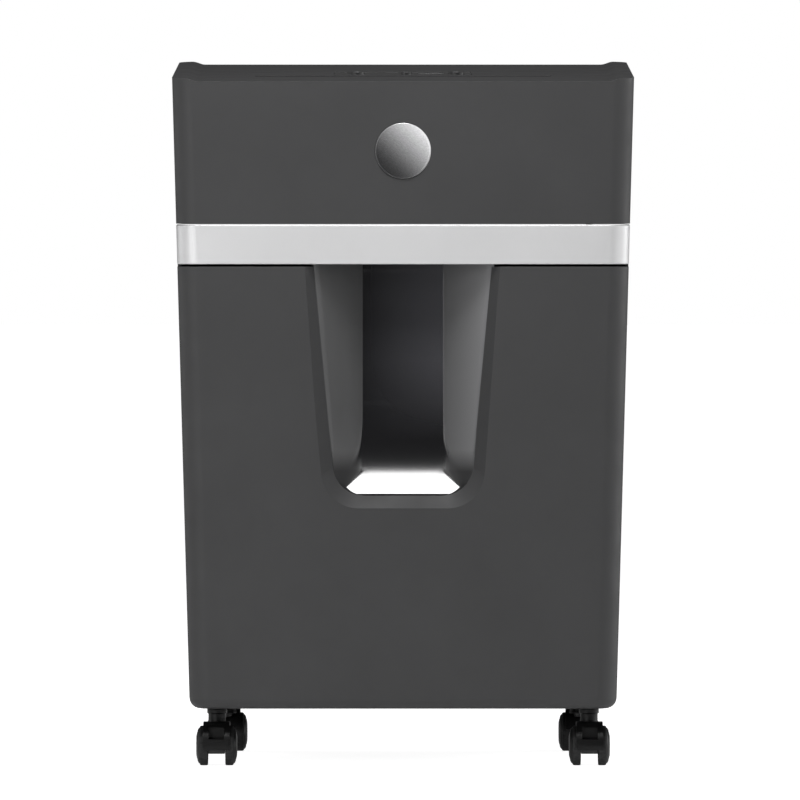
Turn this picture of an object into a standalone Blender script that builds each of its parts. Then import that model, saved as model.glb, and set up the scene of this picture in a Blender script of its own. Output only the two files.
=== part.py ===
"""Deskside paper shredder with a pull-out bin, on four twin-wheel casters.

Units are metres and +Z is up. The front faces -Y and +X is on the right, seen from the front.
The origin is on the floor, under the middle of the body.
"""

import math

import bmesh
import bpy
from mathutils import Euler, Matrix, Vector

# Casters: their height sets how far the body stands off the floor.
WHEEL_RADIUS = 0.0150
WHEEL_INNER_X = 0.0066
WHEEL_OUTER_X = 0.0155
AXLE_RADIUS = 0.0025
STEM_RADIUS = 0.0040
TRAIL = 0.0110
NECK_RADIUS = 0.0075
NECK_LENGTH = 0.0124
HOOD_CLEARANCE = 0.0012
HOOD_WALL = 0.0020
HOOD_HALF = 0.0100
WEB_HALF = 0.0061
WEB_OVERLAP = 0.0010
WEB_FRONT = 0.0070
WEB_REAR = 0.0060
WEB_DROP = 0.0060
STEM_SINK = 0.0031
END_PLAY = 0.0005
SWIVEL_GAP = 0.0015
NECK_BOTTOM = WHEEL_RADIUS * 2 + 0.0001
HOOD_TOP = NECK_BOTTOM + NECK_LENGTH
HOOD_INNER = WHEEL_RADIUS + HOOD_CLEARANCE
HOOD_OUTER = HOOD_INNER + HOOD_WALL

# Body: in plan a rounded rectangle, and it widens upwards on all four sides.
BODY_BOTTOM = HOOD_TOP + SWIVEL_GAP
BASE_HALF_WIDTH = 0.1608
BASE_HALF_DEPTH = 0.1140
SIDE_DRAFT = 0.02695
FACE_DRAFT = 0.0179
CORNER_RADIUS = 0.0160
FOOT_RADIUS = 0.0080
WALL = 0.0030
GAP = 0.0003
SEAM = 0.0006
LARGE = 1.0000

# Heights of the stack: bin front, trim band, head.
BAND_BOTTOM = 0.3785
BAND_HEIGHT = 0.0295
BAND_SHADOW_GAP = 0.0018
BAND_WALL = 0.0040
HEAD_SEAM = 0.0010
STEM_HOLE_GAP = 0.0015
HEAD_HEIGHT = 0.1065
WRAP_DEPTH = 0.0200
BAND_TOP = BAND_BOTTOM + BAND_HEIGHT
HEAD_BOTTOM = BAND_TOP + HEAD_SEAM
WRAP_Y = WRAP_DEPTH - BASE_HALF_DEPTH

# Top of the head: a dish that rises to the rear, between two side rims.
DISH_FRONT_Z = HEAD_BOTTOM + HEAD_HEIGHT
DISH_SLOPE = math.atan(0.0731)
RIM_RAISE = 0.0023
RIM_WIDTH = 0.0095
RIM_RAMP = 0.0100

# Cutter block: two interleaved disc rollers between steel side plates, under the feed slot.
SLOT_LENGTH = 0.2206
SLOT_WIDTH = 0.0060
SLOT_Y = -0.0450
THROAT_WALL = 0.0017
THROAT_RISE = 0.0215
CUTTER_RISE = 0.0460
CUTTER_SPACING = 0.0380
DISC_OVERLAP = 0.0030
DISC_CLEARANCE = 0.0010
CUTTER_ROOM = 0.0020
COMB_CORE_GAP = 0.0010
DISC_WIDTH = 0.0070
DISC_PITCH = 0.0160
SHAFT_RADIUS = 0.0060
PLATE_THICKNESS = 0.0030
PLATE_MARGIN = 0.0047
PLATE_RISE = 0.0450
ROLLER_END_GAP = 0.0035
TIE_BAR_RADIUS = 0.0045
TRAY_THICKNESS = 0.0030
BUSH_RADIUS = 0.0080
BUSH_FLANGE_RADIUS = 0.0105
BUSH_FLANGE = 0.0015
SHAFT_OVERHANG = 0.0010
PLATE_FRONT_MARGIN = 0.0015
PLATE_REAR_MARGIN = 0.0040
PINION_HOLE_GAP = 0.0030
COMB_THICKNESS = 0.0100
COMB_BAR = 0.0040
CUTTER_Z = HEAD_BOTTOM + CUTTER_RISE
FRONT_Y = SLOT_Y - CUTTER_SPACING / 2
REAR_Y = SLOT_Y + CUTTER_SPACING / 2
DISC_RADIUS = (CUTTER_SPACING + DISC_OVERLAP) / 2
CORE_RADIUS = CUTTER_SPACING - DISC_RADIUS - DISC_CLEARANCE
THROAT_BOTTOM = CUTTER_Z + THROAT_RISE
PLATE_INNER_X = SLOT_LENGTH / 2 + PLATE_MARGIN
ROLLER_END = PLATE_INNER_X - ROLLER_END_GAP
FRONT_DISCS = int((ROLLER_END * 2 - DISC_WIDTH) / DISC_PITCH) + 1
TRAY_BOTTOM = HEAD_BOTTOM + GAP
TRAY_TOP = TRAY_BOTTOM + TRAY_THICKNESS
PLATE_BOTTOM = TRAY_TOP + 0.0011
PLATE_TOP = CUTTER_Z + PLATE_RISE

# Hand scoop in the bin front, a U that narrows downwards.
SCOOP_HEIGHT = 0.1832
SCOOP_TOP_HALF = 0.0737
SCOOP_SIDE_SLOPE = 0.0776
SCOOP_CORNER = 0.0280
SCOOP_RIM_TOP = 0.0070
SCOOP_RIM_BOTTOM = 0.0094
SCOOP_INNER_SLOPE = 0.0904
SCOOP_INNER_CORNER = 0.0240
SCOOP_RIM_DEPTH = 0.0080
SCOOP_BACK_HALF = 0.0305
SCOOP_BACK_DEPTH = 0.0420
SCOOP_KNEE_DEPTH = 0.0330
SCOOP_KNEE_DROP = 0.1025
SCOOP_WALL = 0.0025
SCOOP_ROOF_GAP = 0.0100
SCOOP_CREASE_SPREAD = 0.0180
SCOOP_CREASE_POWER = 3.2
SCOOP_LEAST_SIDE = 0.0012
SCOOP_CUT_LEAD = 0.0040
SCOOP_CUT_OVERRUN = 0.0020
BOSS_MARGIN = 0.0090
SCOOP_BOTTOM = BAND_BOTTOM - SCOOP_HEIGHT
SCOOP_EDGE = SCOOP_BOTTOM + SCOOP_RIM_BOTTOM
SCOOP_KNEE_Z = BAND_BOTTOM - SCOOP_KNEE_DROP
SCOOP_ROOF_Z = BAND_TOP - SCOOP_ROOF_GAP
SCOOP_INNER_HALF = SCOOP_TOP_HALF - SCOOP_RIM_TOP

# Chassis with two rails, and the tub that slides on them.
CHASSIS_HEIGHT = 0.0152
CHASSIS_FLOOR = 0.0040
RAIL_WIDTH = 0.0428
SOCKET_ROOF = 0.0030
CHASSIS_BOTTOM = BODY_BOTTOM + WALL + GAP
RAIL_TOP = CHASSIS_BOTTOM + CHASSIS_HEIGHT
RAIL_INNER_HALF = BASE_HALF_WIDTH - RAIL_WIDTH
TUB_WALL = 0.0020
TUB_CORNER = 0.0120
TUB_TOP_GAP = 0.0065
TUB_SIDE_CLEARANCE = 0.0125
TUB_REAR_CLEARANCE = 0.0130
TUB_TOP = BAND_BOTTOM - TUB_TOP_GAP

# Gears. The module is the pitch diameter over the number of teeth.
TOOTH_TIP = 0.80
TOOTH_ROOT = 1.15
TOOTH_BACKLASH = 0.16
FLANK_TAN = math.tan(math.radians(20))
CENTRE_PLAY = 0.0002
ROLLER_TEETH = 19
DRIVE_TEETH = 36
IDLER_SMALL_TEETH = 12
IDLER_LARGE_TEETH = 40
MOTOR_TEETH = 12
ROLLER_MODULE = CUTTER_SPACING / ROLLER_TEETH
DRIVE_MODULE = 0.0015
MOTOR_MODULE = 0.00125
GEAR_WIDTH = 0.0080
MOTOR_GEAR_WIDTH = 0.0050
GEAR_STEP = 0.0020
PINION_OVERLAP = 0.0010
PIN_OVERHANG = 0.0020
GEAR_X = PLATE_INNER_X + PLATE_THICKNESS + 0.0035
MOTOR_GEAR_X = GEAR_X + GEAR_WIDTH + GEAR_STEP + MOTOR_GEAR_WIDTH / 2
IDLER_ANGLE = math.radians(20)
MOTOR_ANGLE = math.radians(-20)
IDLER_PIN_RADIUS = 0.0040
IDLER_REACH = DRIVE_MODULE * (DRIVE_TEETH + IDLER_SMALL_TEETH) / 2 + CENTRE_PLAY
MOTOR_REACH = MOTOR_MODULE * (IDLER_LARGE_TEETH + MOTOR_TEETH) / 2 + CENTRE_PLAY
IDLER_Y = REAR_Y + IDLER_REACH * math.cos(IDLER_ANGLE)
IDLER_Z = CUTTER_Z + IDLER_REACH * math.sin(IDLER_ANGLE)
MOTOR_Y = IDLER_Y + MOTOR_REACH * math.cos(MOTOR_ANGLE)
MOTOR_Z = IDLER_Z + MOTOR_REACH * math.sin(MOTOR_ANGLE)

# Motor.
MOTOR_RADIUS = 0.0270
MOTOR_WALL = 0.0060
MOTOR_LENGTH = 0.0800
MOTOR_END_PLATE = 0.0040
MOTOR_SHAFT_RADIUS = 0.0030
ARMATURE_CLEARANCE = 0.0010
ARMATURE_END_GAP = 0.0120
FAN_RADIUS = 0.0230
FAN_WIDTH = 0.0060
FAN_GAP = 0.0030

# Controls on the head, laid out from the middle of the panel.
PANEL_SETBACK = 0.0380
PANEL_LENGTH = 0.1040
PANEL_WIDTH = 0.0400
PANEL_THICKNESS = 0.0025
PANEL_SINK = 0.0002
PANEL_Y = SLOT_Y + PANEL_SETBACK
BUTTONS = (
    ("button_reverse", -0.0355, 0.0060),
    ("button_power", 0.0020, 0.0045),
    ("button_forward", 0.0405, 0.0060),
)
BUTTON_TRAVEL = 0.0015
BUTTON_PROUD = 0.0012
BUTTON_EDGE = 0.0005
LENS_X = 0.0215
LENS_LENGTH = 0.0200
LENS_WIDTH = 0.0050
BOARD_DROP = 0.0180
BOARD_THICKNESS = 0.0016
BLOCK_INSET = 0.0020
TRANSFORMER = (-0.050, 0.024, 0.018, 0.010)
RELAY = (-0.018, 0.014, 0.014, 0.008)

# Badge, inlet gland and vents.
BADGE_Z = HEAD_BOTTOM + 0.0546
BADGE_RADIUS = 0.02085
BADGE_THICKNESS = 0.0016
BADGE_POCKET = 0.0010
GLAND_X = 0.0408 - BASE_HALF_WIDTH
GLAND_Z = HEAD_BOTTOM + 0.0210
GLAND_RADIUS = 0.0063
GLAND_BORE = 0.0035
GLAND_FLANGE_RADIUS = 0.0090
GLAND_FLANGE = 0.0014
GLAND_REACH = 0.0080
VENT_COUNT = 8
VENT_PITCH = 0.0090
VENT_WIDTH = 0.0032
VENT_HEIGHT = 0.0300
VENT_Z = HEAD_BOTTOM + 0.0560
VENT_X = 0.0700

# Paper sensor in the throat, and the switch that the closed bin presses.
LEVER_PIVOT_Y = SLOT_Y - 0.0125
LEVER_PIVOT_Z = THROAT_BOTTOM + 0.0185
LEVER_HALF = 0.0030
LEVER_HUB = 0.0030
TRUNNION_RADIUS = 0.0012
SENSOR_CHEEK = 0.0050
SWITCH_X = BASE_HALF_WIDTH - 0.0208
SWITCH_Y = 0.0160 - BASE_HALF_DEPTH
SWITCH_HEIGHT = 0.0160
PLUNGER_RADIUS = 0.0025
PLUNGER_HEADROOM = 0.0030
LEVER_WINDOW = 0.0020
LEVER_TIP_LOW = -0.0006
LEVER_TIP_HIGH = 0.0012
SENSOR_FLOOR = 0.0010
SENSOR_ROOF = 0.0020
SWITCH_TAB_HALF = 0.0080

# Where the stems stand. The wheels trail away from the middle of the body.
CASTERS = (
    ("front_left", 0.0201 - BASE_HALF_WIDTH, 0.0405 - BASE_HALF_DEPTH, -1),
    ("front_right", BASE_HALF_WIDTH - 0.0201, 0.0405 - BASE_HALF_DEPTH, -1),
    ("rear_left", 0.0246 - BASE_HALF_WIDTH, BASE_HALF_DEPTH - 0.0395, 1),
    ("rear_right", BASE_HALF_WIDTH - 0.0246, BASE_HALF_DEPTH - 0.0395, 1),
)

BODY_GREY = ((0.060, 0.060, 0.062), 0.5, 0.0)
TRIM_SILVER = ((0.600, 0.605, 0.615), 0.34, 0.6)
GLOSS_BLACK = ((0.012, 0.012, 0.013), 0.12, 0.0)
MATT_BLACK = ((0.022, 0.022, 0.023), 0.55, 0.0)
STEEL = ((0.500, 0.500, 0.500), 0.35, 1.0)
ZINC = ((0.560, 0.560, 0.540), 0.45, 1.0)
BLACK_STEEL = ((0.045, 0.045, 0.045), 0.45, 1.0)
WHITE_NYLON = ((0.750, 0.740, 0.700), 0.5, 0.0)
BRASS = ((0.600, 0.430, 0.180), 0.3, 1.0)
BOARD_GREEN = ((0.020, 0.120, 0.045), 0.5, 0.0)
COPPER = ((0.560, 0.240, 0.120), 0.4, 1.0)


def half_width(z):
    return BASE_HALF_WIDTH + SIDE_DRAFT * (z - BODY_BOTTOM)


def half_depth(z):
    return BASE_HALF_DEPTH + FACE_DRAFT * (z - BODY_BOTTOM)


def dish_z(y):
    """Height of the dish at a place along the depth."""
    front = half_depth(DISH_FRONT_Z)
    return DISH_FRONT_Z + (y + front) * math.tan(DISH_SLOPE)


def clear_scene():
    for obj in list(bpy.data.objects):
        bpy.data.objects.remove(obj, do_unlink=True)


def new_collection(name):
    made = bpy.data.collections.new(name)
    bpy.context.scene.collection.children.link(made)
    return made


clear_scene()
PARTS = new_collection("paper_shredder")
CUTTERS = new_collection("cutters")


def give_finish(obj, finish):
    colour, roughness, metallic = finish
    material = bpy.data.materials.new(obj.name)
    material.use_nodes = True
    shader = material.node_tree.nodes["Principled BSDF"]
    shader.inputs["Base Color"].default_value = (*colour, 1.0)
    shader.inputs["Roughness"].default_value = roughness
    shader.inputs["Metallic"].default_value = metallic
    obj.data.materials.append(material)


def place_object(name, mesh, finish):
    """Link a mesh as a visible part, or as a hidden cutter when it has no finish."""
    obj = bpy.data.objects.new(name, mesh)
    if finish is None:
        CUTTERS.objects.link(obj)
        obj.hide_render = True
        obj.display_type = "WIRE"
    else:
        PARTS.objects.link(obj)
        give_finish(obj, finish)
    return obj


def mesh_from(bm, name):
    bmesh.ops.recalc_face_normals(bm, faces=bm.faces)
    mesh = bpy.data.meshes.new(name)
    bm.to_mesh(mesh)
    bm.free()
    return mesh


def realise(obj, finish):
    """Turn an object's evaluated shape into a plain mesh with welded seams."""
    name = obj.name
    obj.name = name + "_source"
    bpy.context.view_layer.update()
    graph = bpy.context.evaluated_depsgraph_get()
    mesh = bpy.data.meshes.new_from_object(obj.evaluated_get(graph))
    place = obj.matrix_world.copy()
    bm = bmesh.new()
    bm.from_mesh(mesh)
    bmesh.ops.remove_doubles(bm, verts=bm.verts, dist=1e-6)
    bm.to_mesh(mesh)
    bm.free()
    mesh.materials.clear()
    mesh.shade_smooth()
    mesh.set_sharp_from_angle(angle=math.radians(30))
    bpy.data.objects.remove(obj, do_unlink=True)
    made = place_object(name, mesh, finish)
    made.matrix_world = place
    return made


def boolean(target, other, operation="DIFFERENCE"):
    modifier = target.modifiers.new(other.name, "BOOLEAN")
    modifier.operation = operation
    modifier.solver = "EXACT"
    modifier.object = other


def box(name, low, high, finish=None, origin=(0, 0, 0)):
    bm = bmesh.new()
    bmesh.ops.create_cube(bm, size=1.0)
    low, high, origin = Vector(low), Vector(high), Vector(origin)
    size = high - low
    for vert in bm.verts:
        vert.co = Vector([co * side for co, side in zip(vert.co, size)]) + (low + high) / 2 - origin
    obj = place_object(name, mesh_from(bm, name), finish)
    obj.location = origin
    return obj


def drafted(name, bottom, top, finish=None, inset=0.0, rear=None, side=None, radius=CORNER_RADIUS, foot=0.0):
    """A block that follows the body's draft, set in from its faces, with rounded upright edges."""
    rear = inset if rear is None else rear
    side = inset if side is None else side
    bm = bmesh.new()
    bmesh.ops.create_cube(bm, size=2.0)
    for vert in bm.verts:
        z = top if vert.co.z > 0 else bottom
        vert.co.x *= half_width(z) - side
        vert.co.y *= half_depth(z) - (rear if vert.co.y > 0 else inset)
        vert.co.z = z
    upright = [edge for edge in bm.edges if edge.verts[0].co.z != edge.verts[1].co.z]
    bmesh.ops.bevel(bm, geom=upright, offset=radius, segments=5, profile=0.5, affect="EDGES")
    if foot:
        low = [edge for edge in bm.edges if all(vert.co.z < bottom + 1e-6 for vert in edge.verts)]
        bmesh.ops.bevel(bm, geom=low, offset=foot, segments=3, profile=0.5, affect="EDGES")
    return place_object(name, mesh_from(bm, name), finish)


AXES = {"X": Euler((0, math.pi / 2, 0)), "Y": Euler((-math.pi / 2, 0, 0)), "Z": Euler((0, 0, 0))}
PLANES = {
    "YZ": Euler((math.pi / 2, 0, math.pi / 2)),
    "XZ": Euler((math.pi / 2, 0, 0)),
    "XY": Euler((0, 0, 0)),
}


def turned(name, profile, finish=None, at=(0, 0, 0), axis="X", steps=20):
    """Turn a profile of (radius, height), given top to bottom on its outer side, about an axis."""
    mesh = bpy.data.meshes.new(name)
    closed = profile[0][0] > 0
    count = len(profile)
    edges = [(i, (i + 1) % count) for i in range(count if closed else count - 1)]
    mesh.from_pydata([(radius, 0, height) for radius, height in profile], edges, [])
    obj = bpy.data.objects.new(name, mesh)
    CUTTERS.objects.link(obj)
    obj.location = at
    obj.rotation_euler = AXES[axis]
    screw = obj.modifiers.new("turn", "SCREW")
    screw.steps = steps
    screw.render_steps = steps
    screw.use_merge_vertices = True
    screw.merge_threshold = 0.00001
    return realise(obj, finish)


def rod(name, radius, start, end, finish=None, at=(0, 0, 0), axis="X", steps=16):
    """A plain round bar between two places along its axis, counted from its point."""
    return turned(name, [(0, end), (radius, end), (radius, start), (0, start)], finish, at, axis, steps)


def plate(name, outlines, thickness, finish=None, at=(0, 0, 0), plane="YZ"):
    """A flat outline with holes, extruded evenly to both sides of its plane."""
    curve = bpy.data.curves.new(name, "CURVE")
    curve.dimensions = "2D"
    curve.fill_mode = "BOTH"
    curve.extrude = thickness / 2
    for outline in outlines:
        spline = curve.splines.new("POLY")
        spline.points.add(len(outline) - 1)
        for point, (across, up) in zip(spline.points, outline):
            point.co = (across, up, 0, 1)
        spline.use_cyclic_u = True
    obj = bpy.data.objects.new(name, curve)
    CUTTERS.objects.link(obj)
    obj.location = at
    obj.rotation_euler = PLANES[plane]
    return realise(obj, finish)


def circle(across, up, radius, steps=16):
    angles = [2 * math.pi * k / steps for k in range(steps)]
    return [(across + radius * math.cos(a), up + radius * math.sin(a)) for a in angles]


def arc(across, up, radius, start, end, steps):
    angles = [math.radians(start + (end - start) * k / steps) for k in range(steps + 1)]
    return [(across + radius * math.cos(a), up + radius * math.sin(a)) for a in angles]


def rectangle(low, high):
    return [(low[0], low[1]), (high[0], low[1]), (high[0], high[1]), (low[0], high[1])]


def loft(name, sections, finish=None):
    """Join sections with the same number of points into one closed solid."""
    bm = bmesh.new()
    rings = [[bm.verts.new(point) for point in section] for section in sections]
    for ring, following in zip(rings, rings[1:]):
        for k in range(len(ring)):
            after = (k + 1) % len(ring)
            bm.faces.new((ring[k], ring[after], following[after], following[k]))
    bm.faces.new(rings[0])
    bm.faces.new(rings[-1])
    bmesh.ops.triangulate(bm, faces=bm.faces)
    return place_object(name, mesh_from(bm, name), finish)


def cut_front(name, obj):
    """Cut away all that lies ahead of the seam between the bin front and the cabinet."""
    boolean(obj, box(name, (-LARGE, -LARGE, -LARGE), (LARGE, WRAP_Y + SEAM, LARGE)))


def keep_front(name, obj):
    boolean(obj, box(name, (-LARGE, WRAP_Y, -LARGE), (LARGE, LARGE, LARGE)))


def stem_places():
    return [(x, y) for _, x, y, _ in CASTERS]


def make_cabinet_shell():
    shell = drafted("cabinet_shell", BODY_BOTTOM, HEAD_BOTTOM - SEAM, BODY_GREY, foot=FOOT_RADIUS)
    inner_radius = CORNER_RADIUS - WALL
    inner_foot = FOOT_RADIUS - WALL
    floor = BODY_BOTTOM + WALL
    hollow = drafted("cut_cabinet_hollow", floor, LARGE, inset=WALL, radius=inner_radius, foot=inner_foot)
    boolean(shell, hollow)
    cut_front("cut_cabinet_front", shell)
    for k, (x, y) in enumerate(stem_places()):
        radius = STEM_RADIUS + STEM_HOLE_GAP
        boolean(shell, rod(f"cut_stem_hole_{k}", radius, 0.0, BODY_BOTTOM * 2, at=(x, y, 0), axis="Z"))


def make_chassis_plate():
    corner = CORNER_RADIUS - WALL
    chassis = drafted("chassis_plate", CHASSIS_BOTTOM, RAIL_TOP, MATT_BLACK, inset=FOOT_RADIUS, radius=corner)
    low = (-RAIL_INNER_HALF, -LARGE, CHASSIS_BOTTOM + CHASSIS_FLOOR)
    channel = box("cut_chassis_channel", low, (RAIL_INNER_HALF, LARGE, LARGE))
    boolean(chassis, channel)
    for k, (x, y) in enumerate(stem_places()):
        socket = rod(f"cut_socket_{k}", STEM_RADIUS + GAP, 0.0, RAIL_TOP - SOCKET_ROOF, at=(x, y, 0), axis="Z")
        boolean(chassis, socket)


def rounded_u(top_half, slope, bottom, radius, top, steps=6):
    """A U outline in (across, height): sides that lean in, round corners, a flat bottom, an open top."""

    def side(z):
        return top_half - slope * (BAND_BOTTOM - z)

    lean = math.atan(slope)
    centre_z = bottom + radius
    centre_x = side(centre_z) - radius / math.cos(lean)
    first = -math.degrees(lean)
    corner = arc(centre_x, centre_z, radius, first, -90, steps)
    right = [(side(top), top)] + corner
    return right + [(-x, z) for x, z in reversed(right)]


def scoop_inner():
    return rounded_u(SCOOP_INNER_HALF, SCOOP_INNER_SLOPE, SCOOP_EDGE, SCOOP_INNER_CORNER, HEAD_BOTTOM)


def scoop_outer():
    return rounded_u(SCOOP_TOP_HALF, SCOOP_SIDE_SLOPE, SCOOP_BOTTOM, SCOOP_CORNER, HEAD_BOTTOM)


def on_face(x, z, depth):
    """A point that far behind the leaning front face."""
    return (x, -half_depth(z) + depth, z)


def scoop_cutter(name):
    """The scoop's opening, which narrows from the outer U at the face to the inner U behind it."""
    sections = []
    for depth in (-SCOOP_CUT_LEAD, SCOOP_RIM_DEPTH + SCOOP_CUT_OVERRUN):
        share = depth / SCOOP_RIM_DEPTH
        section = []
        for (x_out, z_out), (x_in, z_in) in zip(scoop_outer(), scoop_inner()):
            x = x_out + (x_in - x_out) * share
            z = z_out + (z_in - z_out) * share
            section.append(on_face(x, z, depth))
        sections.append(section)
    return loft(name, sections)


def boss_box(name):
    half = SCOOP_TOP_HALF + BOSS_MARGIN
    return box(name, (-half, -LARGE, SCOOP_BOTTOM - BOSS_MARGIN), (half, 0, LARGE))


def hollow_front(obj, skin, bottom, foot):
    """Hollow a front piece to its skin, and leave it thicker around the scoop."""
    name = "cut_" + obj.name
    thin = drafted(name + "_skin", bottom, LARGE, inset=skin, radius=CORNER_RADIUS - skin, foot=foot)
    boolean(thin, boss_box(name + "_boss"))
    thick_bottom = max(bottom, SCOOP_BOTTOM - BOSS_MARGIN * 2)
    thick = drafted(name + "_thick", thick_bottom, LARGE, inset=SCOOP_RIM_DEPTH, radius=CORNER_RADIUS / 2)
    boolean(obj, thin)
    boolean(obj, thick)


def make_bin_front_panel():
    top = BAND_BOTTOM - BAND_SHADOW_GAP
    panel = drafted("bin_front_panel", BODY_BOTTOM, top, BODY_GREY, foot=FOOT_RADIUS)
    keep_front("cut_panel_rear", panel)
    hollow_front(panel, WALL, BODY_BOTTOM + WALL, FOOT_RADIUS - WALL)
    boolean(panel, scoop_cutter("cut_scoop"))


def make_trim_band():
    band = drafted("trim_band", BAND_BOTTOM, BAND_TOP, TRIM_SILVER)
    keep_front("cut_band_rear", band)
    hollow_front(band, BAND_WALL, BODY_BOTTOM, 0.0)
    tab_front = -half_depth(BAND_TOP) + BAND_WALL / 2
    low = (SWITCH_X - SWITCH_TAB_HALF, tab_front, BAND_TOP - BAND_WALL)
    tab = box("cut_switch_tab", low, (SWITCH_X + SWITCH_TAB_HALF, WRAP_Y - SEAM, BAND_TOP))
    boolean(band, tab, "UNION")


def scoop_depth(z):
    """Depth of the scoop's back wall behind the face: near upright, then curving forward."""
    if z >= SCOOP_KNEE_Z:
        share = (z - SCOOP_KNEE_Z) / (BAND_BOTTOM - SCOOP_KNEE_Z)
        return SCOOP_KNEE_DEPTH + (SCOOP_BACK_DEPTH - SCOOP_KNEE_DEPTH) * min(share, 1)
    share = (SCOOP_KNEE_Z - z) / (SCOOP_KNEE_Z - SCOOP_EDGE)
    return SCOOP_KNEE_DEPTH - (SCOOP_KNEE_DEPTH - SCOOP_RIM_DEPTH) * min(share, 1) ** 2


def scoop_crease(z, front_half):
    """Half-width of the back wall, which widens towards the scoop's lower edge."""
    share = max((SCOOP_KNEE_Z - z) / (SCOOP_KNEE_Z - SCOOP_EDGE), 0)
    half = SCOOP_BACK_HALF + SCOOP_CREASE_SPREAD * share**SCOOP_CREASE_POWER
    return min(half, front_half - SCOOP_LEAST_SIDE)


def make_scoop_window():
    """A smoked, open-fronted shell behind the U opening. Its rows follow the inner U downwards."""
    start = SCOOP_RIM_DEPTH + GAP
    corner = scoop_inner()[1 : len(scoop_inner()) // 2]
    fall = SCOOP_KNEE_Z - corner[0][1]
    upper = [SCOOP_ROOF_Z, BAND_BOTTOM, (BAND_BOTTOM + SCOOP_KNEE_Z) / 2]
    upper += [SCOOP_KNEE_Z - fall * share for share in (0, 0.3, 0.6, 0.8)]
    rows = [(SCOOP_INNER_HALF - SCOOP_INNER_SLOPE * (BAND_BOTTOM - z), z) for z in upper] + corner
    bm = bmesh.new()
    grid = []
    for half, z in rows:
        depth = max(scoop_depth(z), start + SEAM)
        crease = scoop_crease(z, half)
        across = ((-half, start), (-crease, depth), (crease, depth), (half, start))
        row = [on_face(x, z, d) for x, d in across]
        grid.append([bm.verts.new(point) for point in row])
    for row, below in zip(grid, grid[1:]):
        for k in range(3):
            bm.faces.new((row[k], row[k + 1], below[k + 1], below[k]))
    bm.faces.new(grid[0])
    mesh = mesh_from(bm, "scoop_window")
    window = place_object("scoop_window", mesh, GLOSS_BLACK)
    solidify = window.modifiers.new("wall", "SOLIDIFY")
    solidify.thickness = SCOOP_WALL
    solidify.offset = 1.0 if mesh.polygons[0].normal.y > 0 else -1.0
    solidify.use_even_offset = True


def make_bin_tub():
    """The tub follows the body's draft, and steps back around the scoop."""
    base = RAIL_TOP + GAP * 2
    front = WALL + GAP
    notch_half = SCOOP_TOP_HALF + BOSS_MARGIN + GAP
    notch_low = SCOOP_BOTTOM - BOSS_MARGIN - GAP
    notch_back = SCOOP_BACK_DEPTH + SCOOP_WALL * 2 - half_depth(BAND_BOTTOM)
    sizes = dict(side=TUB_SIDE_CLEARANCE, rear=TUB_REAR_CLEARANCE)
    tub = drafted("bin_tub", base, TUB_TOP, MATT_BLACK, inset=front, radius=TUB_CORNER, **sizes)
    notch = box("cut_tub_notch", (-notch_half, -LARGE, notch_low), (notch_half, notch_back, LARGE))
    boolean(tub, notch)
    inner = {key: value + TUB_WALL for key, value in sizes.items()}
    corner = TUB_CORNER - TUB_WALL
    hollow = drafted("cut_tub_hollow", base + TUB_WALL, LARGE, inset=front + TUB_WALL, radius=corner, **inner)
    wider = notch_half + TUB_WALL
    inner_notch = box(
        "cut_tub_inner_notch",
        (-wider, -LARGE, notch_low - TUB_WALL),
        (wider, notch_back + TUB_WALL, LARGE * 2),
    )
    boolean(hollow, inner_notch)
    boolean(tub, hollow)


def dish_cutter(name, drop):
    """What is cut off above the dish and its rims, lowered by the given drop."""
    half = half_width(DISH_FRONT_Z) - drop
    rim = half - RIM_WIDTH
    floor = rim - RIM_RAMP
    outline = [(-LARGE, LARGE), (-LARGE, RIM_RAISE), (-rim, RIM_RAISE), (-floor, 0)]
    outline += [(-x, z) for x, z in reversed(outline)]
    front = half_depth(DISH_FRONT_Z)
    cutter = plate(name, [outline], LARGE * 2, plane="XZ", at=(0, -front, DISH_FRONT_Z - drop))
    cutter.rotation_euler = Euler((math.pi / 2 + DISH_SLOPE, 0, 0))
    return cutter


def make_head_cover():
    top = DISH_FRONT_Z + HEAD_HEIGHT / 2
    cover = drafted("head_cover", HEAD_BOTTOM, top, BODY_GREY)
    boolean(cover, dish_cutter("cut_dish", 0))
    hollow = drafted("cut_head_hollow", BAND_BOTTOM, LARGE, inset=WALL, radius=CORNER_RADIUS - WALL)
    boolean(hollow, dish_cutter("cut_dish_inside", WALL))
    boolean(cover, hollow)
    half = SLOT_LENGTH / 2 + THROAT_WALL + GAP
    across = SLOT_WIDTH / 2 + THROAT_WALL + GAP
    slot = box("cut_slot", (-half, SLOT_Y - across, CUTTER_Z), (half, SLOT_Y + across, top))
    boolean(cover, slot)
    boolean(cover, dish_cutout("cut_panel_seat", 0, PANEL_LENGTH, PANEL_WIDTH))
    pocket = rod("cut_badge_pocket", BADGE_RADIUS + GAP, -WALL * 3, 0, axis="Y", steps=32)
    put_on_front(pocket, BADGE_Z, BADGE_POCKET)
    boolean(cover, pocket)
    depth = half_depth(GLAND_Z)
    hole = rod("cut_gland_hole", GLAND_RADIUS + GAP, -WALL * 3, WALL, at=(GLAND_X, depth, GLAND_Z), axis="Y")
    boolean(cover, hole)
    for k in range(VENT_COUNT):
        x = VENT_X + (k - (VENT_COUNT - 1) / 2) * VENT_PITCH
        low = (x - VENT_WIDTH / 2, half_depth(VENT_Z) - WALL * 3, VENT_Z - VENT_HEIGHT / 2)
        high = (x + VENT_WIDTH / 2, half_depth(VENT_Z) + WALL * 3, VENT_Z + VENT_HEIGHT / 2)
        boolean(cover, box(f"cut_vent_{k}", low, high))


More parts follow.
